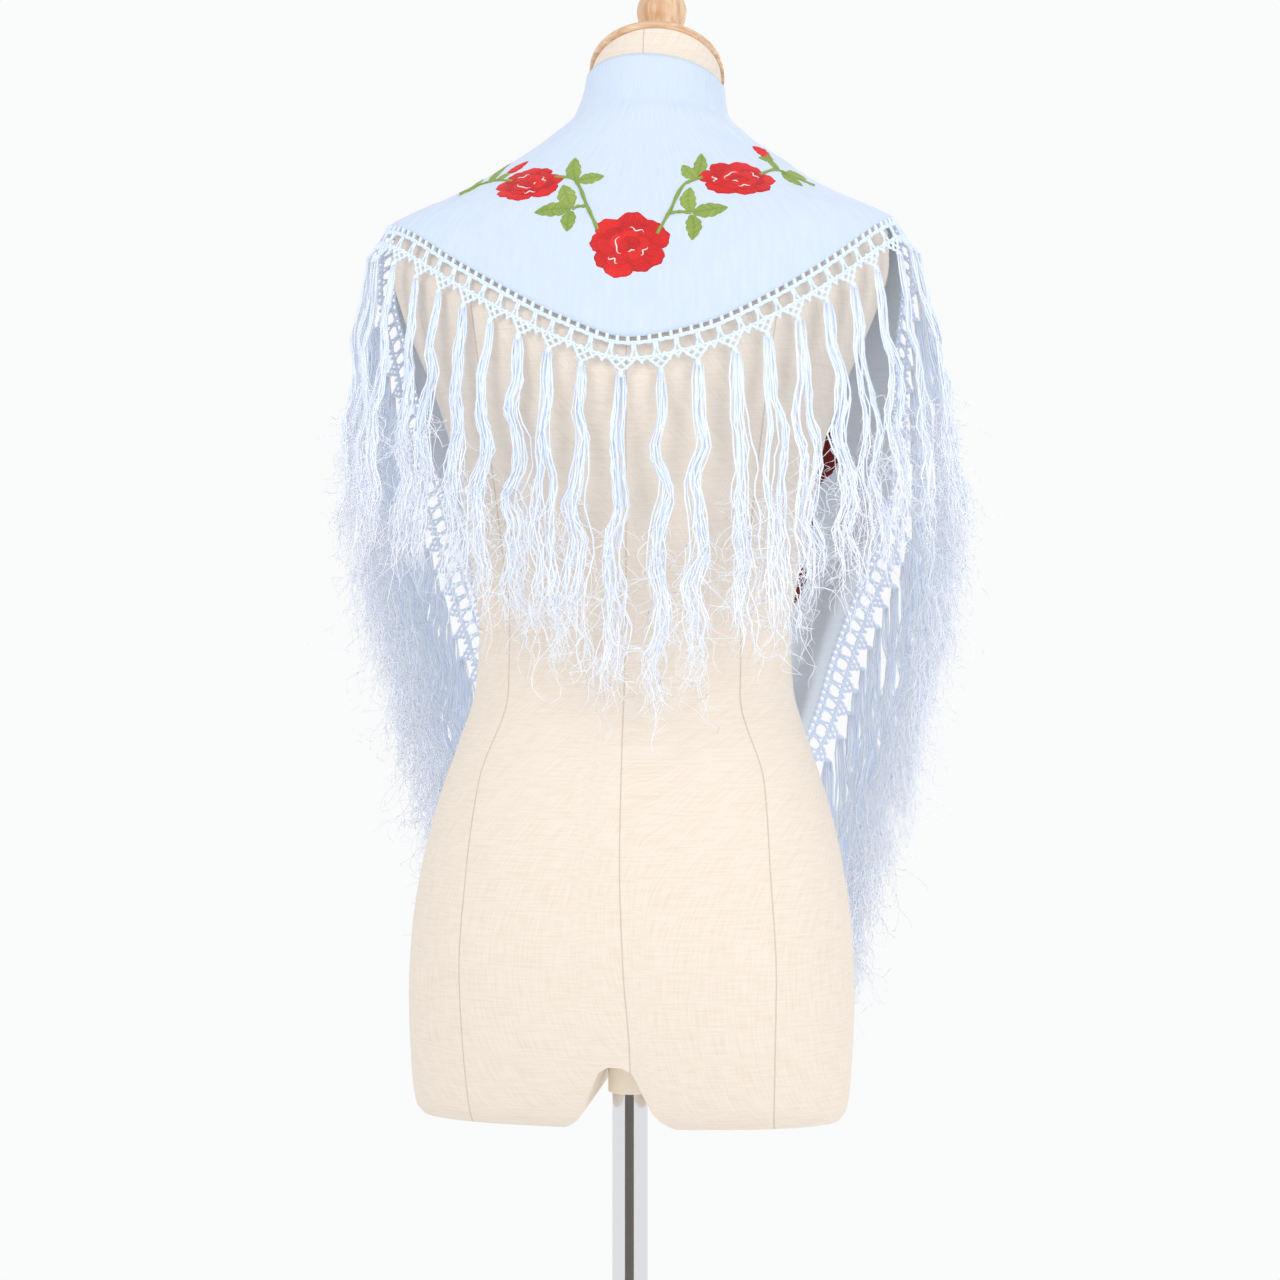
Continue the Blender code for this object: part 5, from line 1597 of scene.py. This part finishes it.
LEAVES: tuple[Leaf, ...] = (
    # Round the back garland, left of the middle rose and then right of it.
    Leaf(B, (-0.0394, 1.3420), (-0.0662, 1.3407), 0.0062),
    Leaf(B, (-0.0394, 1.3430), (-0.0501, 1.3618), 0.0064),
    Leaf(B, (-0.0394, 1.3410), (-0.0418, 1.3250), 0.0050),
    Leaf(B, (-0.0402, 1.3655), (-0.0455, 1.3849), 0.0056),
    Leaf(B, (-0.0402, 1.3655), (-0.0204, 1.3680), 0.0054),
    Leaf(B, (0.0490, 1.3650), (0.0392, 1.3775), 0.0052),
    Leaf(B, (0.0478, 1.3660), (0.0535, 1.3850), 0.0048),
    Leaf(B, (0.0480, 1.3368), (0.0478, 1.3570), 0.0056),
    Leaf(B, (0.0480, 1.3368), (0.0735, 1.3395), 0.0060),
    Leaf(B, (0.0480, 1.3360), (0.0495, 1.3165), 0.0053),
    # Towards the shoulders.
    Leaf(B, (-0.0980, 1.3765), (-0.0870, 1.3885), 0.0050, True),
    Leaf(B, (-0.1040, 1.3722), (-0.0960, 1.3785), 0.0036),
    Leaf(B, (-0.1080, 1.3700), (-0.1210, 1.3790), 0.0046),
    Leaf(B, (-0.1179, 1.3703), (-0.1287, 1.3610), 0.0040),
    Leaf(B, (-0.1210, 1.3690), (-0.1330, 1.3700), 0.0038),
    Leaf(B, (0.0985, 1.3860), (0.0915, 1.3960), 0.0052, True),
    Leaf(B, (0.1000, 1.3845), (0.1005, 1.3900), 0.0030),
    Leaf(B, (0.1000, 1.3840), (0.0900, 1.3880), 0.0036),
    Leaf(B, (0.1060, 1.3765), (0.1070, 1.3835), 0.0034),
    Leaf(B, (0.1110, 1.3740), (0.1270, 1.3670), 0.0072),
    Leaf(B, (0.1080, 1.3740), (0.1170, 1.3610), 0.0045),
    # On the fronts.
    Leaf(F, (0.1260, 1.3350), (0.1167, 1.3480), 0.0060),
    Leaf(F, (0.1284, 1.3400), (0.1449, 1.3450), 0.0056),
    Leaf(F, (0.1190, 1.2400), (0.1000, 1.2480), 0.0068),
    Leaf(F, (0.1210, 1.2300), (0.1440, 1.2400), 0.0066),
    Leaf(F, (0.1220, 1.2250), (0.1020, 1.2150), 0.0060),
    Leaf(F, (0.1120, 1.1300), (0.1304, 1.1180), 0.0062),
    Leaf(F, (0.1100, 1.1280), (0.0880, 1.1340), 0.0064),
    Leaf(F, (0.0900, 1.0250), (0.1095, 1.0330), 0.0064),
    Leaf(F, (0.0880, 1.0150), (0.0700, 1.0260), 0.0060),
    Leaf(F, (0.0800, 0.9750), (0.0720, 0.9480), 0.0056),
    Leaf(F, (0.0810, 0.9800), (0.0960, 0.9620), 0.0062, True),
    Leaf(F, (0.0820, 0.9840), (0.1020, 0.9740), 0.0048, True),
    Leaf(F, (-0.1320, 1.3350), (-0.1190, 1.3480), 0.0060),
    Leaf(F, (-0.1330, 1.3400), (-0.1480, 1.3450), 0.0056),
    Leaf(F, (-0.1330, 1.2400), (-0.1140, 1.2500), 0.0066),
    Leaf(F, (-0.1340, 1.2300), (-0.1540, 1.2380), 0.0062),
    Leaf(F, (-0.1330, 1.2250), (-0.1130, 1.2160), 0.0060),
    Leaf(F, (-0.1170, 1.1330), (-0.1350, 1.1220), 0.0060),
    Leaf(F, (-0.1160, 1.1300), (-0.0960, 1.1380), 0.0062),
    Leaf(F, (-0.0860, 1.0300), (-0.1050, 1.0370), 0.0060),
    Leaf(F, (-0.0850, 1.0200), (-0.0670, 1.0310), 0.0058),
    Leaf(F, (-0.0760, 0.9800), (-0.0690, 0.9540), 0.0054),
    Leaf(F, (-0.0770, 0.9850), (-0.0920, 0.9670), 0.0060, True),
)


@dataclass(frozen=True)
class Garland:
    """Roses, buds, leaves and stems, raised on the cloth in satin stitch."""

    shape: ShawlShape
    relief: float = 0.75 * MM
    # The rim of each patch of stitches is sunk into the cloth.
    tucked: float = -0.25 * MM
    # How much flatter the back of the stitching is, and what it takes off the tone to turn it to the darker back
    # colour, which is painted shade.
    back_share: float = 0.6
    back_painted_shade: float = 2.0
    # Petals of a rose, ring by ring from the outside: how many, how far out, how long, how wide, tone; the darkest
    # tone, on the innermost ring, is painted shade.
    rings: Table = (
        (9, 0.365, 0.330, 0.200, 0.62),
        (7, 0.255, 0.290, 0.185, 0.46),
        (5, 0.150, 0.250, 0.160, 0.66),
        (3, 0.050, 0.180, 0.120, 0.42),
    )
    # Pale crescents between petals: how far out, where they start and how far round they go.
    crescents: Table = ((0.16, 2.1, 1.9), (0.27, 0.6, 0.8), (0.23, 5.2, 0.7), (0.33, 3.6, 0.5), (0.10, 4.4, 0.9))
    seed: int = 5

    def walk(self, face: Face, x: Array, height: Array, right: Array, up: Array) -> tuple[Array, Array]:
        """Points and normals a given way over the cloth from a place.

        Goes there in eight equal steps; each solves for the turn and the height that move the point
        by the step's part to the right and up in the cloth's own plane.

        Args:
            face: side of the body.
            x: the start's distance from the body's middle.
            height: the start's height.
            right: metres to the right on the photograph's side.
            up: metres up the cloth.

        Returns:
            Points on the cloth and the normals there.
        """
        turn = np.broadcast_to(self.shape.figure.place(face, x, height), right.shape).astype(float)
        z = np.broadcast_to(height, right.shape).astype(float)
        steps, tiny = 8, 1e-3
        for _ in range(steps):
            here = self.shape.figure.oval(turn, z, 1.0)
            by_turn = (self.shape.figure.oval(turn + tiny, z, 1.0) - here) / tiny
            by_height = (self.shape.figure.oval(turn, z + tiny, 1.0) - here) / tiny
            level = unit(by_turn)
            upward = unit(by_height - (by_height * level).sum(axis=-1, keepdims=True) * level)
            hand = 1 if face is Face.BACK else -1
            rise = up / steps / (by_height * upward).sum(axis=-1)
            slide = hand * right / steps - rise * (by_height * level).sum(axis=-1)
            turn = turn + slide / np.linalg.norm(by_turn, axis=-1)
            z = z + rise
        return self.shape.lay(turn, z)

    def rose(self, flower: Rose, surface: Surface, rng: np.random.Generator) -> None:
        """Rings of overlapping petals, each a grid whose width follows a rounded fan.

        Args:
            flower: the rose.
            surface: the red surface.
            rng: the garland's random numbers.
        """
        across = np.linspace(-1, 1, 9)[None]
        along = np.linspace(0, 1, 8)[:, None]
        rim = (np.abs(across) == 1) | (along == 0) | (along == 1)
        for ring, (count, distance, length, width, tone) in enumerate(self.rings):
            for petal in range(int(count)):
                angle = 2 * math.pi * (petal + 0.5 * (ring % 2)) / count + flower.turned + rng.uniform(-0.16, 0.16)
                size = rng.uniform(0.90, 1.10)
                fan = np.sin(math.pi * along**0.7 * 0.64 + 0.30)
                wide = width * size * fan * (1 + 0.06 * np.sin(9 * along + petal))
                tip = 1 - 0.24 * np.abs(across) ** 2.2 + 0.035 * np.cos(across * 7 + petal)
                reach = (distance - length / 2) + (length * size) * along * tip
                skew = 0.05 * rng.uniform(-1, 1) * along**2
                aside = wide * across + skew
                flat_x = (np.cos(angle) * reach - np.sin(angle) * aside) * flower.width
                flat_y = (np.sin(angle) * reach + np.cos(angle) * aside) * flower.tall
                points, normals = self.walk(flower.face, flower.x, flower.height, flat_x, flat_y)
                edge = (1 - np.abs(across) ** 4) * (1 - (2 * along - 1) ** 6)
                lift = self.relief * (0.10 + 0.34 * ring + (0.55 + 0.25 * along) * np.maximum(edge, 0) ** 0.6)
                lift = np.where(rim, self.tucked, lift)
                raised = points + normals * lift[..., None]
                chart = np.stack(np.broadcast_arrays(across * width * flower.width, along * length * flower.width), -1)
                # Painted shade: each petal is darker towards its base, under the petals inside it, and at its rim,
                # where it meets the petals beside it; the random part is the thread's own tone.
                fade = tone + 0.30 * (along - 0.5) + rng.uniform(-0.14, 0.14) - 0.55 * (1 - edge)
                surface.add(raised[None], flip=flower.face is Face.FRONT, chart=chart[None], tone=fade)
                if flower.face is Face.FRONT:
                    self.underside(surface, points, normals, lift, chart, fade)
        for distance, begin, reach in self.crescents:
            turn = flower.turned + begin + reach * np.linspace(0, 1, 12)
            out = distance * (1 + 0.10 * np.sin(np.linspace(0, 9, 12))) * rng.uniform(0.92, 1.08)
            points, normals = self.walk(
                flower.face, flower.x, flower.height,
                np.cos(turn) * out * flower.width, np.sin(turn) * out * flower.tall,
            )
            lift = self.relief * (1.75 - 1.5 * distance)
            path = (points + normals * lift)[None]
            radius = 0.62 * MM * np.sin(math.pi * np.linspace(0.03, 0.97, 12))[None]
            surface.add(tubes(path, radius, 5, normals[None], 0.6), slot=1, wrap=True, capped=True, tone=0.8)

    def leaf(self, leaf: Leaf, red: Surface, green: Surface, rng: np.random.Generator) -> None:
        """A pointed oval, raised on both sides of a sunken midrib, with a lightly notched edge.

        Args:
            leaf: the leaf or petal.
            red: the red surface.
            green: the green surface.
            rng: the garland's random numbers.
        """
        across = np.linspace(-1, 1, 9)[None]
        along = np.linspace(0, 1, 13)[:, None]
        start, end = (
            self.shape.lay(self.shape.figure.place(leaf.face, *map(np.array, place)), np.array(place[1]))[0]
            for place in (leaf.base, leaf.tip)
        )
        chord = float(np.linalg.norm(end - start))
        # What is left of the chord beside its part to the right lies up or down the cloth's own plane.
        level = leaf.tip[0] - leaf.base[0]
        upward = math.copysign(math.sqrt(max(chord**2 - level**2, 0.0)), leaf.tip[1] - leaf.base[1])
        angle = math.atan2(upward, level)
        length = 1.08 * chord
        shape = np.maximum(np.sin(math.pi * along**0.85), 0.02) ** 0.85 * (1 + 0.10 * np.sin(along * 26))
        wide = 1.18 * leaf.half_width * shape
        bend = 0.10 * length * rng.uniform(-1, 1) * np.sin(math.pi * along)
        reach, aside = length * along, wide * across + bend
        right = math.cos(angle) * reach - math.sin(angle) * aside
        up = math.sin(angle) * reach + math.cos(angle) * aside
        points, normals = self.walk(leaf.face, leaf.base[0], leaf.base[1], right, up)
        plump = np.sqrt(np.maximum(1 - np.abs(across) ** 3, 0))
        plump = plump * np.sqrt(np.sin(math.pi * np.clip(along, 0.02, 0.98)))
        groove = 0.55 * np.exp(-((across / 0.16) ** 2)) * (not leaf.red)
        lift = self.relief * (0.15 + (0.75 - groove) * plump)
        lift = np.where((np.abs(across) == 1) | (along == 0) | (along == 1), self.tucked, lift)
        chart = np.stack(np.broadcast_arrays(reach + 0.7 * np.abs(aside - bend), aside), -1)
        # Painted shade: darker in the sunken midrib and towards the rim and both ends; the random part is the thread's
        # own tone.
        tone = 0.62 + rng.uniform(-0.12, 0.12) - 0.40 * groove - 0.15 * (1 - plump)
        surface = red if leaf.red else green
        raised = points + normals * lift[..., None]
        surface.add(raised[None], flip=leaf.face is Face.FRONT, chart=chart[None], tone=tone)
        if leaf.face is Face.FRONT:
            self.underside(surface, points, normals, lift, chart, tone)

    def underside(
        self, surface: Surface, points: Array, normals: Array, lift: Array, chart: Array, tone: Array
    ) -> None:
        """The back of the stitching, flatter and in a darker colour that is painted shade, on the inner face of a
        front.

        Args:
            surface: the piece.
            points: places on the cloth's outer face.
            normals: ways out of the cloth there.
            lift: how far the stitching stands off the outer face.
            chart: flat coordinates in metres.
            tone: tone of the outer stitching.
        """
        inside = points - normals * (self.shape.thickness + self.back_share * lift)[..., None]
        # Painted shade: the back's tone is pushed far down, to the darker back colour.
        surface.add(inside[None], chart=chart[None], tone=tone - self.back_painted_shade)

    def stem(self, stem: Stem, green: Surface) -> None:
        """A cord of eight sides laid on the cloth, sunk a third into it."""
        x, z = np.array(stem.line, float).T
        fine = np.linspace(0, len(x) - 1, 26)
        x, z = (monotone_curve(fine, np.arange(len(x)), part) for part in (x, z))
        points, normals = self.shape.lay(self.shape.figure.place(stem.face, x, z), z)
        path = (points + normals * 0.3 * MM)[None]
        radius = stem.half_width * (0.85 + 0.15 * np.sin(fine * 9))[None]
        green.add(tubes(path, radius, 8, normals[None], 0.7), wrap=True, capped=True,
                  chart=Fringe.chart(path, 8), tone=0.5)

    def build(self, red: SatinStitch, green: SatinStitch, pale: SatinStitch) -> list[bpy.types.Object]:
        """All the embroidery, as one red piece and one green piece.

        Args:
            red: the red thread.
            green: the green thread.
            pale: the off-white thread of the crescents.

        Returns:
            Both pieces.
        """
        rng = np.random.default_rng(self.seed)
        petals, leaves = Surface("embroidered_roses"), Surface("embroidered_leaves")
        for flower in ROSES:
            self.rose(flower, petals, rng)
        for leaf in LEAVES:
            self.leaf(leaf, petals, leaves, rng)
        for stem in STEMS:
            self.stem(stem, leaves)
        pieces = (petals.build(red.material(), pale.material()), leaves.build(green.material()))
        return [placed(piece, "form") for piece in pieces]


# ================================================================ turned parts and stand
def turned(profile: Array, segments: int) -> Array:
    """Points of a profile of (height, radius) carried round Z: radius times cos and sin of the turn."""
    turns = np.arange(segments) * 2 * math.pi / segments
    height, radius = np.asarray(profile, float).T
    return np.stack(np.broadcast_arrays(
        radius[:, None] * np.cos(turns), radius[:, None] * np.sin(turns), height[:, None]
    ), axis=-1)


def rounded(profile: Table, radius: float, steps: int = 5) -> Array:
    """A profile whose corners are cut by small curves.

    Each corner is replaced by points of the parabola from a point before it to a point after it.

    Args:
        profile: (height, radius) corners.
        radius: how far from a corner the curve starts.
        steps: points in a curve.

    Returns:
        The finer profile.
    """
    corners = np.array(profile, float)
    parts = [corners[:1]]
    t = np.linspace(0, 1, steps)[:, None]
    for before, here, after in zip(corners, corners[1:], corners[2:]):
        first, last = before - here, after - here
        first *= min(radius, np.linalg.norm(first) * 0.45) / np.linalg.norm(first)
        last *= min(radius, np.linalg.norm(last) * 0.45) / np.linalg.norm(last)
        parts.append(here + first * (1 - t) ** 2 + last * t**2)
    parts.append(corners[-1:])
    return np.concatenate(parts)


@dataclass(frozen=True)
class NeckCap:
    """The turned disc on the neck and the knob on it, square to the sloping cut."""

    radius: float = 0.0525
    thickness: float = 0.0070
    gap: float = 0.0003
    # Distance along the knob's axis, radius.
    knob: Table = (
        (0.000, 0.0190), (0.003, 0.0195), (0.007, 0.0150), (0.012, 0.0095), (0.034, 0.0085), (0.045, 0.0105),
        (0.051, 0.0155), (0.058, 0.0190), (0.066, 0.0202), (0.074, 0.0186), (0.081, 0.0135), (0.084, 0.0082),
        (0.088, 0.0086), (0.093, 0.0060), (0.095, 0.0004),
    )

    def tilted(self, points: Array) -> Array:
        """Points turned back by the neck's slope about X and moved to the cap's middle."""
        c, s = math.cos(CAP_SLOPE), math.sin(CAP_SLOPE)
        turn = np.array([[1, 0, 0], [0, c, s], [0, -s, c]])
        return points @ turn.T + CAP_CENTRE

    def build(self, finish: TurnedWood, knob_finish: TurnedWood) -> list[bpy.types.Object]:
        """The disc with its rounded rim, and the knob.

        Args:
            finish: wood for the disc, whose grain runs across it.
            knob_finish: wood for the knob, whose grain runs along it.

        Returns:
            Both pieces.
        """
        disc = Surface("wooden_neck_cap")
        edge = self.radius
        profile = rounded(
            ((self.gap, 0.001), (self.gap, edge), (self.gap + self.thickness / 2, edge + 0.0001),
             (self.thickness, edge), (self.thickness, 0.001)), 0.0022,
        )
        disc.add(self.tilted(turned(profile, 128))[None], wrap=True, capped=True)
        knob = Surface("wooden_knob")
        along = np.linspace(0, 1, 90)
        height, radius = np.array(self.knob).T
        fine = along * height[-1]
        profile = np.stack([fine, monotone_curve(fine, height, radius)], axis=-1)
        profile = np.concatenate([[[0.0, 0.001]], profile])
        profile[:, 0] += self.thickness + self.gap
        knob.add(self.tilted(turned(profile, 96))[None], wrap=True, capped=True)
        return [
            placed(disc.build(finish.material()), "form", ("neck_cap",)),
            placed(knob.build(knob_finish.material()), "form", ("cap_knob",)),
        ]


@dataclass(frozen=True)
class PoleStand:
    """The chromed pole on its round foot, and the cream sleeve in the body that turns on it."""

    base_radius: float = 0.190
    base_thickness: float = 0.012
    boss_radius: float = 0.024
    boss_top: float = 0.042
    pole_radius: float = 0.0135
    pole_foot: float = 0.005
    pole_top: float = 0.945
    socket_radius: float = 0.0165
    socket_mouth: float = 0.686
    socket_top: float = 0.950

    def build(self, plate: ChromePlate, nylon: MouldedNylon) -> list[bpy.types.Object]:
        """Foot, pole and sleeve as turned profiles.

        Args:
            plate: the chrome.
            nylon: the sleeve's plastic.

        Returns:
            The three pieces.
        """
        chrome = plate.material()
        foot = Surface("chromed_foot")
        profile = rounded(
            ((0.0, 0.001), (0.0, self.base_radius - 0.001), (0.003, self.base_radius),
             (0.0085, self.base_radius - 0.001), (self.base_thickness, self.base_radius - 0.016),
             (self.base_thickness, self.boss_radius + 0.010), (self.base_thickness + 0.004, self.boss_radius),
             (self.boss_top, self.boss_radius), (self.boss_top, self.pole_radius + 0.0003),
             (self.boss_top - 0.006, self.pole_radius + 0.0003)), 0.0025,
        )
        foot.add(turned(profile, 160)[None], wrap=True, capped=True)
        pole = Surface("chromed_pole")
        profile = rounded(
            ((self.pole_foot, 0.001), (self.pole_foot, self.pole_radius), (0.35, self.pole_radius),
             (0.70, self.pole_radius), (self.pole_top, self.pole_radius), (self.pole_top, 0.001)), 0.0012,
        )
        pole.add(turned(profile, 128)[None], wrap=True, capped=True)
        sleeve = Surface("cream_sleeve")
        inner = self.pole_radius + 0.0004
        profile = rounded(
            ((self.socket_top - 0.004, 0.001), (self.socket_top - 0.004, inner), (self.socket_mouth, inner),
             (self.socket_mouth, self.socket_radius), (self.socket_top, self.socket_radius),
             (self.socket_top, 0.001)), 0.0007,
        )
        sleeve.add(turned(profile, 96)[None], wrap=True, capped=True)
        return [
            placed(foot.build(chrome), "stand", ("base_plate",)),
            placed(pole.build(chrome), "stand", ("pole",)),
            placed(sleeve.build(nylon.material()), "form", ("pole_socket",)),
        ]


# ================================================================ studio
@dataclass(frozen=True)
class Studio:
    """White paper floor, pale surroundings, three large soft lights and the camera."""

    floor_radius: float = 1.85
    distance: float = 1.8
    azimuth: float = math.radians(7)
    eye: float = 1.0286
    focal_pixels: float = 2368.0
    image: int = 1280
    # Pixels by which the photograph's middle stands beside the camera's axis.
    shifted: float = 10
    card_distance: float = 1.35

    def floor(self, paper: PaperFloor) -> None:
        """A round floor just under the foot, as a stage object."""
        surface = Surface("paper_floor")
        surface.add(turned(np.array([[-0.001, 0.001], [-0.001, 0.5], [-0.001, self.floor_radius]]), 96)[None],
                    wrap=True, flip=True)
        surface.build(paper.material())

    def card(self) -> None:
        """A dark card behind the camera, low down, that shows only in the polished pole."""
        surface = Surface("dark_card")
        across, up = np.meshgrid(np.radians(np.linspace(-26.0, 32.0, 9)) - math.pi / 2, (0.02, 0.9))
        surface.add(np.stack([
            self.card_distance * np.cos(across), self.card_distance * np.sin(across), up
        ], axis=-1)[None])
        made, _, _ = new_material("dark_card_stock", Roughness=0.9, Base_Color=linear("#6A6561"))
        card = surface.build(made)
        card.visible_camera = card.visible_diffuse = card.visible_shadow = card.visible_transmission = False

    def camera(self) -> None:
        """Level camera behind the body, a little to the right, with the photograph's framing."""
        data = bpy.data.cameras.new("photograph_view")
        data.sensor_width = 36.0
        data.lens = self.focal_pixels / self.image * data.sensor_width
        data.shift_x = self.shifted / self.image
        made = bpy.data.objects.new("photograph_view", data)
        made.location = (self.distance * math.sin(self.azimuth), -self.distance * math.cos(self.azimuth), self.eye)
        made.rotation_euler = (math.pi / 2, 0.0, self.azimuth)
        bpy.context.scene.collection.objects.link(made)
        bpy.context.scene.camera = made

    def lights(self) -> None:
        """Even pale surroundings and three large soft lights, the key one from the camera's upper left."""
        scene = bpy.context.scene
        scene.view_settings.view_transform = "Standard"
        world = scene.world or bpy.data.worlds.new("studio")
        scene.world = world
        world.use_nodes = True
        tree = world.node_tree
        tree.nodes.clear()
        seen = add_node(tree, "ShaderNodeBackground", {0: (0.958, 0.962, 0.966, 1), 1: 1.0}).outputs[0]
        cast = add_node(tree, "ShaderNodeBackground", {0: (0.97, 0.98, 1.0, 1), 1: 0.88}).outputs[0]
        path = add_node(tree, "ShaderNodeLightPath").outputs["Is Camera Ray"]
        mixed = add_node(tree, "ShaderNodeMixShader", {0: path, 1: cast, 2: seen}).outputs[0]
        add_node(tree, "ShaderNodeOutputWorld", {0: mixed})
        for name, place, aim, size, watts in (
            ("key_softbox", (-1.15, -2.10, 2.35), (0, 0, 1.15), 1.0, 12.5),
            ("fill_softbox", (1.7, -1.8, 1.5), (0, 0, 1.1), 1.4, 14.0),
            ("front_softbox", (0.6, 2.4, 2.0), (0, 0, 1.1), 1.4, 14.0),
        ):
            light = bpy.data.lights.new(name, "AREA")
            light.size = size
            light.energy = watts
            lamp = bpy.data.objects.new(name, light)
            lamp.location = place
            way = np.array(aim) - np.array(place)
            lamp.rotation_euler = (
                math.acos(-way[2] / np.linalg.norm(way)), 0.0, math.atan2(way[1], way[0]) - math.pi / 2
            )
            scene.collection.objects.link(lamp)


def main() -> None:
    logging.basicConfig(level=logging.INFO, format="%(message)s")
    LOG.info("packed model: %d nodes", len(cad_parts))
    figure = Figure()
    shape = ShawlShape(figure)
    form = DressForm(figure).build(Linen())
    NeckCap().build(TurnedWood("beech_turned_disc", along=(1.0, 0.0, 0.0)), TurnedWood("beech_turned_knob"))
    PoleStand().build(ChromePlate(), MouldedNylon())
    cloth = Cloth(shape).build(Crepe())
    hem = Hem(shape)
    LOG.info("hem %.3f m, corners at %.3f and %.3f", hem.length, *hem.corners)
    yarn = RayonYarn().material()
    band = KnottedBand(hem)
    fringe = Fringe(hem, band, figure)
    trims = [band.build(stretch, yarn) for stretch in Stretch]
    trims += [fringe.build(stretch, yarn) for stretch in Stretch]
    # The last colour of each thread is painted shade, for the back of the stitching inside the fronts.
    trims += Garland(shape).build(
        SatinStitch("rayon_satin_stitch_red", "#F02E2C", "#A3121A", "#7A1C1F"),
        SatinStitch("rayon_satin_stitch_green", "#A6BB62", "#67832E", "#5A6B33"),
        SatinStitch("rayon_satin_stitch_pale", "#F6EDEC", "#D9C6C8", "#C9B6B8"),
    )
    studio = Studio()
    studio.floor(PaperFloor())
    studio.card()
    studio.lights()
    studio.camera()


if __name__ == "__main__":
    main()
